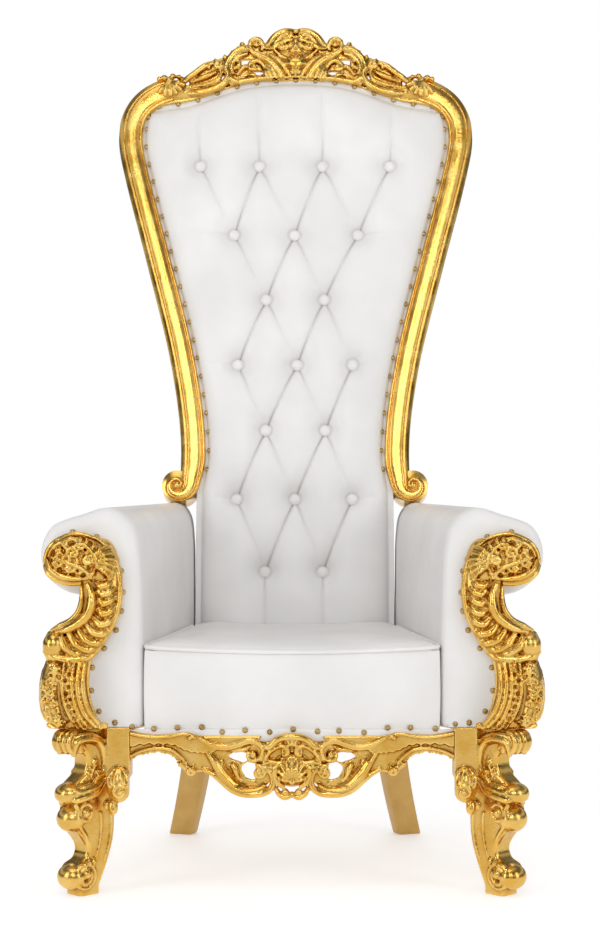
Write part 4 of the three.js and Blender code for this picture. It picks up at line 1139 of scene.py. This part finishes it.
def makeLeg():
    carving = Carving("legCarving")
    half, corner = legShape["half"], legShape["corner"]
    carving.board(legOutline, half, 2 * half, legShape["edge"])
    for side in (-1, 1):
        face = side * half

        def bar(points, widths, lift=0, cut="bar"):
            lifts = lift if isinstance(lift, list) else [lift, lift]
            line = [(min(r, legShape["lip"]), z) for r, z in points]
            carving.bar(line, widths, [face + side * value for value in lifts], cut)

        # The top scroll and the C band that frames a sunk panel
        bar(scroll(24, 272.7, 8, 180, -330, 0.4), [3, 4, 3.5, 2.5], 3)
        carving.ball(25.5, 273.3, 4.5, face + side * 3)
        bar([(45.4, 262.2), (48.3, 276.3), (36.9, 287.4), (14.1, 292.1), (-8.8, 287.4), (-23, 274.3),
             (-29.3, 256.2), (-30.1, 238), (-23, 221.9), (-5.9, 211.8)],
            [4, 6, 7, 7.5, 7, 6.5, 6.5, 6, 4], [1, 4, 4, 3, 3, 2])
        bar([(51.1, 296.5), (22.6, 300.5), (-5.9, 296.5), (-28.7, 284.4), (-40.1, 264.2), (-43, 244.1)],
            [4, 6, 6, 5, 3], 1)
        bar(scroll(-15, 225.5, 6, 0, 400, 0.3), [2.5, 3.5, 3, 2], 5)
        carving.leaf([(2, 218), (-3, 232), (-10, 244), (-12, 256)], 8, face + side, lobes=4)
        # The knee: acanthus bands swept round to the outward ball
        bar([(-34.4, 221.9), (-18.7, 204.7), (8.4, 197.7), (36.9, 195.6), (61.1, 201.7)], [4, 6, 7, 6, 4],
            [4, 5, 4, 3], "split")
        bar([(-31.6, 211.8), (-8.8, 191.6), (19.8, 184.6), (48.3, 182.5), (68.3, 187.6)], [4, 7, 8, 7, 4],
            [3, 5, 4, 2])
        bar([(-23, 211.8), (2.7, 206.7), (22, 204), (32, 202)], [3, 5, 5, 3], [2, 3, 2], "split")
        for x, z, turn in ((20, 198, 95), (8, 203, 90), (-6, 207, 80)):
            bar(sprig(x, z, turn, 7, 2), [3, 4.5, 2], 3, "split")
        # The lower scroll with its ball, and the S that runs down the shaft
        bar(scroll(14.1, 154.9, 17, 150, -340, 0.75), [4, 4.5, 4.5, 4], [2, 3, 3])
        carving.ball(13.5, 154.9, 9, face + side * 1)
        bar([(38, 173), (33, 165), (35, 152), (32, 138), (22, 124), (12, 111), (6, 98)],
            [4, 5, 5, 4, 3.5, 3, 1.5], [1, 2, 2, 1, 0, -1])
        bar([(-23, 151.3), (-24.7, 127.1), (-20.2, 94.8), (-11.6, 66.6)], [3, 3, 2.4, 1.5], 0)
        bar([(-48, 147.2), (-48.5, 123), (-43, 90.8), (-32, 60.5)], [3, 3, 2.4, 1.5], 0)
        bar(scroll(-45.8, 156.9, 7, 60, 400, 0.3), [3, 3.5, 3, 2], 3)
        carving.leaf([(-34.4, 169.4), (-40.1, 163.4), (-48.7, 151.3)], 9, face + side, lobes=3)
        # The ringed disc of the foot, under a tuft of leaves
        bar(scroll(13.5, 37.3, 23, 90, -360, 1.0), [4, 4, 4], 0)
        bar(scroll(13.5, 37.3, 15, 90, -360, 0.9), [3.6, 3.6, 3.6], 2)
        carving.ball(11.2, 40.3, 9, face + side * 2)
        for x, z in ((15, 62), (5, 67), (-6, 68)):
            bar([(x, z - 12), (x - 1, z)], [3, 5, 2.5], 1, "split")
    for r, z, across, tall in legShape["rolls"]:
        carving.ball(r, z, across, 0, tall=tall, deep=half + 9, segments=32)
    # Ribs over the top roll
    for offset in (-21, -11, 0, 11, 21):
        reach = 62 - abs(offset) * 0.35
        carving.bar([(34, 268), (reach - 8, 271), (reach - 1, 287), (reach - 8, 303), (34, 308)],
                    [3, 4, 4.6, 4, 3], [offset, offset])
    bm = carving.toBmesh()
    bmesh.ops.rotate(bm, cent=(0, 0, 0), matrix=Matrix.Rotation(-math.pi / 4, 3, "Z"), verts=bm.verts)
    bmesh.ops.translate(bm, vec=(corner, 0, 0), verts=bm.verts)
    # The plank above the knee, and the plate of the foot
    for middle, size in legShape["plank"]:
        block = Matrix.Translation(middle) @ Matrix.Diagonal((*size, 1))
        bmesh.ops.create_cube(bm, size=1, matrix=block)
    wide = legShape["plate"]
    plate = (Matrix.Translation((corner, 0, 10)) @ Matrix.Rotation(math.pi / 4, 4, "Z")
             @ Matrix.Diagonal((wide, wide, 20, 1)))
    bmesh.ops.create_cube(bm, size=1, matrix=plate)
    # A leafy scroll turned towards the apron and another towards the side rail
    for x, y, turn in ((-66, -8, 0), (8, 62, math.pi / 2)):
        ear = Carving("earCarving")
        ear.ball(0, 205, 23.5, 0, tall=34, deep=24, segments=32)
        for offset in (-16, -5.5, 5.5, 16):
            ear.bar([(offset * 0.5, 236), (offset * 1.15, 220), (offset, 202)], [2.4, 4.2, 3],
                    [8, 21 - abs(offset) * 0.4, 22 - abs(offset) * 0.3], "split")
        ear.bar(scroll(-3, 194, 13, 130, -420, 0.25), [3, 4.4, 4.4, 4, 3], 21)
        ear.ball(-3, 194, 4, 25)
        ear.ball(11, 163, 10, 2, tall=15)
        ear.bar(scroll(11, 162, 6, 90, 330, 0.4), [2, 2.6, 2], 10)
        part = ear.toBmesh()
        bmesh.ops.rotate(part, cent=(0, 0, 0), matrix=Matrix.Rotation(turn, 3, "Z"), verts=part.verts)
        bmesh.ops.translate(part, vec=(corner + x, y, 0), verts=part.verts)
        mesh = bpy.data.meshes.new("ear")
        part.to_mesh(mesh)
        part.free()
        bm.from_mesh(mesh)
        bpy.data.meshes.remove(mesh)
    cutPlane(bm, (legShape["inner"], 0, 0), (-1, 0, 0))
    cutPlane(bm, (0, legShape["rear"], 0), (0, 1, 0))
    cutPlane(bm, (0, 0, throne["legTop"]), (0, 0, 1))
    cutPlane(bm, (0, 0, 0), (0, 0, -1))
    obj = finishPiece(bm, "frontLegRight", onFloor, carvedGold, "gilded_wood", ["leg_front_right"])
    growTogether(obj, legShape["voxel"])
    mirrored(obj, "frontLegLeft", ["leg_front_left"])


# The pierced apron under the seat's front

apronShape = {"half": 303.7, "rear": 13.7, "voxel": 1.7}


def makeApron():
    carving = Carving("apronCarving")
    bar, ball, leaf = carving.bar, carving.ball, carving.leaf
    for side in (-1, 1):
        carving.setOut(side)
        plate = [(306, 303.8), (260.1, 296.1), (222.6, 297.6), (195.4, 301.1), (178.7, 295.5),
                 (153.7, 281.9), (128.6, 274.6), (124.5, 263.1), (132.8, 250.6), (124.5, 227.6),
                 (111.9, 206.8), (124.5, 211), (145.3, 223.5), (157.9, 228.7), (178.7, 225.6),
                 (195.4, 227.6), (208, 240.2), (218.4, 252.7), (228.8, 260.6), (249.7, 265.2),
                 (274.7, 262.1), (291.4, 256.9), (306, 246.4)]
        carving.board(plate, 9, 9)
        plate = [(306, 302.4), (260.1, 295.3), (222.6, 296.5), (195.4, 299.9), (178.7, 294.4),
                 (153.7, 279.8), (137, 273.6), (145.3, 265.2), (151.6, 263.1), (157.4, 260.6), (161, 265.2),
                 (166.2, 260.6), (172.1, 264.4), (176.6, 260.6), (181.9, 265.6), (189.2, 263.1),
                 (195.4, 267.7), (201.7, 266.9), (208, 272.7), (214.2, 273.6), (218.4, 278.6),
                 (225.7, 276.5), (233, 280.7), (241.3, 277.7), (249.7, 281.1), (258, 277.7), (267.4, 281.5),
                 (276.8, 277.3), (285.2, 280.2), (293.5, 275.6), (306, 273.6)]
        carving.board(plate, 15, 8)
        # Webs between the ribs, each with its thickness
        webs = [
            (8, [(184, 294), (128, 251), (105, 266), (87, 262), (72, 272), (56, 294)]),
            (8, [(180, 284), (122, 256), (108, 249), (97, 246), (95, 230), (87, 216), (70, 210),
                 (66, 203), (96, 199), (151, 231), (177, 261)]),
            (7, [(128.6, 246.4), (118.2, 227.6), (103.6, 208.9), (91.1, 198.4), (72.3, 192.2),
                 (51.4, 196.3), (38.9, 211), (38.9, 231.8), (45.2, 246.4), (57.7, 248.5), (63.9, 240.2),
                 (61.9, 225.6), (68.1, 213), (80.6, 211), (91.1, 215.1), (95.3, 225.6), (94.2, 238.1),
                 (82.7, 245.4), (103.6, 243.3), (120.3, 250.6)]),
            (7, [(124.5, 267.3), (111.9, 275.6), (91.1, 279.8), (72.3, 284), (55.6, 269.4), (53.5, 254.8),
                 (63.9, 240.2), (84.8, 245.4), (82.7, 256.9), (86.9, 266.3), (105.7, 268.3), (120.3, 261)]),
        ]
        for thick, web in webs:
            carving.board(web, thick, thick)
        bar([(306, 300.3), (285.2, 296.1), (258, 293.2), (228.8, 294.8), (208, 298.6), (191.3, 299)],
            [3, 3.4, 3.4, 2.6], 16)
        bar([(306, 248.1), (291.4, 258.1), (270.6, 263.5), (249.7, 265.2), (228.8, 261.5), (215.3, 252.7),
             (204.8, 240.2), (195.4, 229.3)], [4, 4.6, 4.6, 4], 12)
        bar([(306, 254.8), (287.3, 264.8), (266.4, 270.2), (245.5, 271.9), (224.6, 268.1), (208, 255.2),
             (198.6, 243.3)], [2.6, 3, 3, 2.4], 13)
        bar(scroll(189.6, 229.3, 7, 170, 400, 0.3), [3, 4, 3.6, 2.6], [13, 16, 16])
        leaf([(178.7, 227.6), (193.3, 236), (208, 242.3), (214.2, 236)], 8, 11, lobes=3)
        for turn in (150, 110, 70, 30, -10):
            bar(sprig(186, 290.7, turn, 11, tall=8), [1.6, 3, 1.4], [17, 20, 16], "split")
        # The long upper rib, doubled, with its curl round a ball
        for offset, wide, lift in ((0, 4.2, 15), (-26, 3, 14)):
            line = [(178.7, 294.4), (162, 284.8), (145.3, 277.7), (124.5, 275.6), (101.5, 281.1),
                    (80.6, 287.8), (63.9, 282.7), (55.2, 269.4), (59.4, 253.5)]
            line = [(x + offset * 0.03, z + offset * 0.2087) for x, z in line]
            bar(line, [wide * 0.8, wide, wide, wide, wide * 0.8], [lift - 2, lift, lift + 1, lift])
        bar([(59.4, 253.5), (72.3, 248.1), (83.1, 255.8), (81.1, 266.3)], [3.4, 4, 3.6, 2.4], [14, 15, 13])
        ball(73.3, 259.4, 7.5, 10)
        bar([(124.5, 268.3), (105.7, 266.9), (86.9, 270.4), (78.6, 275.6)], [2.4, 4, 4, 2.4], [8, 10, 8])
        # Leafy band down to the great scroll
        bar([(157.9, 263.1), (145.3, 246.4), (134.9, 229.7), (122.4, 215.1), (107.8, 201.6)],
            [5, 8, 9, 9, 7], [10, 13, 14, 14], "ribbed")
        bar([(132.8, 252.7), (130.7, 236), (120.3, 219.3), (105.7, 204.7), (86.9, 198.4)], [4, 7, 8, 7, 4],
            [8, 11, 11, 10], "split")
        bar([(111.9, 242.3), (106.7, 231.8), (103.6, 221.4), (95.3, 208.9)], [6, 7, 5, 3], [6, 9, 7])
        bar([(166.2, 231.8), (149.5, 223.5), (132.8, 211), (114, 195.3), (93.2, 186.9), (72.3, 185.5),
             (51.4, 188.8), (38.9, 198.4), (35.6, 213), (41, 227.6), (53.5, 237.7)],
             [4, 5, 6, 6.5, 6.5, 6.5, 6.5, 6, 5.5, 5], [8, 12, 14, 15, 15, 14, 13])
        bar([(141.2, 227.6), (124.5, 211), (105.7, 197.4), (84.8, 192.6), (63.9, 194.3), (49.3, 203.6)],
            [3, 5, 5.5, 5.5, 5, 3], [12, 15, 16, 15, 13], "split")
        bar(scroll(61.9, 226.6, 13, 60, 420, 0.25), [5, 5, 4.6, 4, 3], [13, 16, 18])
        ball(61.9, 226, 4.5, 17)
        bar([(53.5, 237.7), (38.9, 237.7), (26.4, 231.8)], [4, 6, 4], [12, 14, 12], "split")
        # The crown over the shield
        bar([(55.2, 279.8), (48.9, 273.6), (41, 275.6), (30.6, 286.1), (13.9, 292.8), (-4.9, 294.4)],
            [3, 5, 6, 6.6, 7, 7], [12, 14, 15, 17, 18])
        bar([(52.5, 246.4), (45.2, 260.6), (34.7, 270.4), (20.1, 276.7), (8.6, 270.4), (10.1, 260),
             (19.1, 259.4)], [4, 5.5, 6, 5.5, 5, 3.6], [11, 14, 16, 17, 16], "split")
        bar([(54.3, 243.3), (41, 246.4), (28.5, 244.8), (18, 246.4)], [4, 5, 5, 3], [12, 14, 15], "split")
        ball(15.9, 265.2, 5, 15)
        for turn in (-20, 30, 80):
            bar(sprig(0, 281, turn, 13), [2.4, 4, 2], [18, 21, 17], "split")
        # The shield's rim and the leaf with a ball beneath
        bar([(20.1, 246.4), (30.6, 236), (32.2, 221.4), (26, 206.8), (13.9, 198.4)], [4, 5, 5, 5, 4],
            [14, 17, 17, 15])
        bar([(31.6, 198.4), (24.3, 186.9), (13.9, 180.7), (3.4, 183.4), (-2.4, 190.1)], [4, 6, 6.5, 5, 3],
            [10, 13, 14, 12], "split")
        ball(12.2, 190.1, 7, 15)
    carving.setOut()
    ball(0, 232, 36, 4, tall=34, deep=17, segments=36)
    ball(0, 254, 60, -2, tall=50, deep=12, segments=36)
    for i in range(9):
        angle = math.radians(90 + (i - 4) * 25)
        bar([(4 * math.cos(angle), 212 + 4 * math.sin(angle)),
             (26 * math.cos(angle), 222 + 28 * math.sin(angle))], [1.6, 4.6, 3.6], [21, 24, 17])
    ball(0, 210, 6, 21)
    ball(0, 281, 4.5, 22)
    bm = carving.toBmesh()
    cutPlane(bm, (0, 0, 0), (0, 1, 0))
    for side in (-1, 1):
        cutPlane(bm, (side * apronShape["half"], 0, 0), (side, 0, 0))
    place = onFloor @ Matrix.Translation((0, apronShape["rear"], 0))
    obj = finishPiece(bm, "carvedApron", place, carvedGold, "gilded_wood", ["apron"])
    growTogether(obj, apronShape["voxel"])


# Rails and rear legs

railShape = {
    "front": ((-303.7, 14, 266), (303.7, 46, 298)), "back": ((-273, 548, 236), (273, 584, 298)),
    "sideWide": 36, "sideOuter": 433, "sideStart": 68.3, "sideEnd": 584, "arch": 18, "lower": (266, 240),
}
rearLegShape = {"across": 58, "deep": 40, "turn": 20, "x": 203, "y": 566, "splay": 41, "rake": 62,
                "top": 235.7}


def makeFrame():
    bm = bmesh.new()
    beam(bm, *railShape["front"])
    finishPiece(bm, "frontRail", onFloor, plainGold, "gilded_wood", ["rail_front"])
    bm = bmesh.new()
    beam(bm, *railShape["back"])
    finishPiece(bm, "backRail", onFloor, satinGold, "painted_wood", ["rail_back"])

    bm = bmesh.new()
    bmesh.ops.create_cube(bm, size=1)
    along = [e for e in bm.edges if abs(e.verts[0].co.y - e.verts[1].co.y) > 0.5]
    bmesh.ops.subdivide_edges(bm, edges=along, cuts=24)
    for vert in bm.verts:
        share = vert.co.y + 0.5
        end = railShape["sideEnd"]
        x = (lerp(railShape["sideOuter"], armNarrowed(162, end), share)
             + (vert.co.x - 0.5) * railShape["sideWide"])
        y = lerp(railShape["sideStart"], end, share)
        lower = lerp(*railShape["lower"], clamp(share * 6)) + math.sin(math.pi * share) * railShape["arch"]
        vert.co = (x, y, throne["legTop"] if vert.co.z > 0 else lower)
    softenEdges(bm, 3)
    obj = finishPiece(bm, "sideRailRight", onFloor, plainGold, "gilded_wood", ["rail_right"])
    mirrored(obj, "sideRailLeft", ["rail_left"])

    bm = bmesh.new()
    bmesh.ops.create_cube(bm, size=1)
    along = [e for e in bm.edges if abs(e.verts[0].co.z - e.verts[1].co.z) > 0.5]
    bmesh.ops.subdivide_edges(bm, edges=along, cuts=20)
    leg = rearLegShape
    turn = Matrix.Rotation(math.radians(leg["turn"]), 3, "Z")
    for vert in bm.verts:
        share = vert.co.z + 0.5
        foot = lerp(0.9, 1, share)
        bend = (1 - share) ** 1.4
        place = turn @ Vector((vert.co.x * leg["across"] * foot, vert.co.y * leg["deep"] * foot, 0))
        vert.co = (place.x + leg["x"] + leg["splay"] * bend, place.y + leg["y"] + leg["rake"] * bend,
                   share * leg["top"])
    softenEdges(bm, 4)
    obj = finishPiece(bm, "rearLegRight", onFloor, satinGold, "painted_wood", ["leg_rear_right"])
    mirrored(obj, "rearLegLeft", ["leg_rear_left"])


# Nails

nailShape = {"radius": 5.6, "tall": 4, "gap": 43, "inside": 14, "acrossTop": 13, "topHalf": 266,
             "sideDepth": -7, "cornerDepth": -6, "topDepth": -2, "armDepth": 7, "frontDepth": 9.5,
             "lowest": 470, "highest": 1275, "underTop": 1.5}
armNails = [
    (-411, 676), (-366, 667), (-336, 637), (-320, 603), (-317, 563), (-320, 528), (-330, 492), (-352, 458),
    (-374, 422), (-376, 379), (-362, 340), (-332, 319),
]
frontNails = [
    (-300, 311), (-259, 307), (-215, 309), (-169, 310), (-131, 301), (-88, 304), (-42, 301), (2, 306),
    (48, 302), (88, 303), (135, 300), (179, 309), (222, 309), (269, 307), (306, 316),
]


def makeNails():
    def nail(bm, x, y, z):
        place = (Matrix.Translation((x, y, z)) @ Matrix.Rotation(math.pi / 2, 4, "X")
                 @ Matrix.Diagonal((nailShape["radius"], nailShape["radius"], nailShape["tall"], 1)))
        bmesh.ops.create_uvsphere(bm, u_segments=16, v_segments=10, radius=1, matrix=place)

    bm = bmesh.new()
    line = [p for p in stileMiddle if nailShape["lowest"] < p.y < nailShape["highest"]]
    for side in (-1, 1):
        for point in evenly(line, nailShape["gap"]):
            x = padHalf(point.y) - nailShape["inside"]
            nail(bm, side * x, nailShape["sideDepth"], point.y)
        for x, height in ((309, 1329), (331, 1304)):
            nail(bm, side * x, nailShape["cornerDepth"], height)
    for i in range(nailShape["acrossTop"]):
        x = lerp(-nailShape["topHalf"], nailShape["topHalf"], i / (nailShape["acrossTop"] - 1))
        nail(bm, x, nailShape["topDepth"], padTopEdge(x) - nailShape["underTop"])
    finishPiece(bm, "backNails", onBack, nailBrass, "gilded_wood")
    bm = bmesh.new()
    for side in (-1, 1):
        for x, z in armNails:
            nail(bm, side * x, nailShape["armDepth"], z)
    for x, z in frontNails:
        nail(bm, x, nailShape["frontDepth"], z)
    finishPiece(bm, "frontNails", onFloor, nailBrass, "gilded_wood")


makeCrest()
print("crest carved")
makeStile()
makeBack()
print("back ready")
makeSeat()
makeArm()
print("seat and arms ready")
makeFacing()
makeLeg()
makeApron()
print("carvings ready")
makeFrame()
makeNails()
print("frame and nails ready")


# Floor, light and camera

view = {"distance": 3780, "height": 795, "aside": 40, "shift": 13.4, "focalPixels": 2021, "imageWidth": 600,
        "sensor": 36}
floorLook = {"colour": (0.94, 0.94, 0.94, 1), "rough": 0.6, "glow": 0.3, "fade": (0.3, 1.0)}
# How bright the studio's walls are, from straight below to straight above
wallStops = ((0.0, 0.8), (0.49, 0.55), (0.53, 0.08), (0.62, 0.1), (0.66, 0.7), (0.74, 0.7), (0.78, 0.12),
             (0.92, 0.2), (1.0, 0.9))
wallTone = (0.66, 0.66, 0.67, 1)
# Each soft light's name, place, aim, size and power
softBoxes = (
    ("overhead", (-0.6, -1.8, 4.4), (0, 0.1, 0.8), (2.0, 2.0), 16),
    ("leftBox", (-2.6, -2.2, 1.4), (0, 0, 0.9), (0.9, 2.4), 18),
    ("rightBox", (2.6, -2.2, 1.4), (0, 0, 0.9), (0.9, 2.4), 15),
    ("frontFill", (0.3, -5.2, 1.3), (0, 0, 0.7), (2.6, 1.2), 7),
    ("leftStrip", (-0.62, -5.2, 3.5), (0, 0, 1.0), (0.38, 2.4), 24),
    ("rightStrip", (0.66, -5.2, 3.5), (0, 0, 1.0), (0.38, 2.4), 24),
    ("backWash", (0, 3.0, 3.0), (0, 0.6, 0), (2.5, 2.5), 20),
)


def setFloor():
    bm = bmesh.new()
    bmesh.ops.create_grid(bm, x_segments=1, y_segments=1, size=30)
    mesh = bpy.data.meshes.new("floor")
    bm.to_mesh(mesh)
    bm.free()
    floor = onLink(bpy.data.objects.new("floor", mesh))
    material, tree, shader = newMaterial("paleFloor")
    shader.inputs["Base Color"].default_value = floorLook["colour"]
    shader.inputs["Roughness"].default_value = floorLook["rough"]
    shader.inputs["Emission Color"].default_value = (1, 1, 1, 1)
    shader.inputs["Emission Strength"].default_value = floorLook["glow"]
    place = tree.nodes.new("ShaderNodeTexCoord")
    away = addNode(tree, "ShaderNodeVectorMath", {0: place.outputs["Object"]}, operation="LENGTH")
    near, far = floorLook["fade"]
    fade = addNode(tree, "ShaderNodeMapRange", {"Value": away.outputs["Value"], "From Min": near,
                                                "From Max": far}, interpolation_type="SMOOTHSTEP")
    glow = addNode(tree, "ShaderNodeEmission", {"Color": (1, 1, 1, 1), "Strength": 1.0})
    blend = addNode(tree, "ShaderNodeMixShader", {0: fade.outputs["Result"], 1: shader.outputs["BSDF"],
                                                  2: glow.outputs["Emission"]})
    tree.links.new(blend.outputs["Shader"], tree.nodes["Material Output"].inputs["Surface"])
    mesh.materials.append(material)


def setLights():
    world = bpy.data.worlds.new("studio")
    bpy.context.scene.world = world
    world.use_nodes = True
    tree = world.node_tree
    shade = tree.nodes["Background"]
    place = tree.nodes.new("ShaderNodeTexCoord")
    apart = addNode(tree, "ShaderNodeSeparateXYZ", {0: place.outputs["Generated"]})
    ramp = tree.nodes.new("ShaderNodeValToRGB")
    up = addNode(tree, "ShaderNodeMapRange", {"Value": apart.outputs["Z"], "From Min": -1.0})
    tree.links.new(up.outputs["Result"], ramp.inputs["Fac"])
    ramp.color_ramp.elements[0].position = wallStops[0][0]
    ramp.color_ramp.elements[1].position = wallStops[-1][0]
    for position, _ in wallStops[1:-1]:
        ramp.color_ramp.elements.new(position)
    for element, (position, value) in zip(ramp.color_ramp.elements, wallStops):
        element.position = position
        element.color = (value, value, value, 1)
    rays = tree.nodes.new("ShaderNodeLightPath")
    soft = mixColour(tree, rays.outputs["Is Diffuse Ray"], ramp.outputs["Color"], wallTone)
    seen = mixColour(tree, rays.outputs["Is Camera Ray"], soft, (1, 1, 1, 1))
    tree.links.new(seen, shade.inputs["Color"])

    for name, where, aim, size, power in softBoxes:
        light = bpy.data.lights.new(name, "AREA")
        light.shape = "RECTANGLE"
        light.size, light.size_y = size
        light.energy = power
        obj = onLink(bpy.data.objects.new(name, light))
        obj.location = where
        obj.rotation_euler = (Vector(aim) - Vector(where)).to_track_quat("-Z", "Y").to_euler()
    settings = bpy.context.scene.view_settings
    settings.view_transform = "Standard"
    settings.look = "None"


def setCamera():
    camera = bpy.data.cameras.new("camera")
    camera.sensor_fit = "HORIZONTAL"
    camera.sensor_width = view["sensor"]
    camera.shift_x = -view["shift"] / view["imageWidth"]
    camera.lens = camera.sensor_width * view["focalPixels"] / view["imageWidth"]
    obj = onLink(bpy.data.objects.new("camera", camera))
    obj.location = (view["aside"] * mm, frontLine - view["distance"] * mm, view["height"] * mm)
    obj.rotation_euler = (math.pi / 2, 0, 0)
    bpy.context.scene.camera = obj


setFloor()
setLights()
setCamera()
print("stage ready")

# The section curves have done their work
for obj in profiles.values():
    bpy.data.objects.remove(obj)
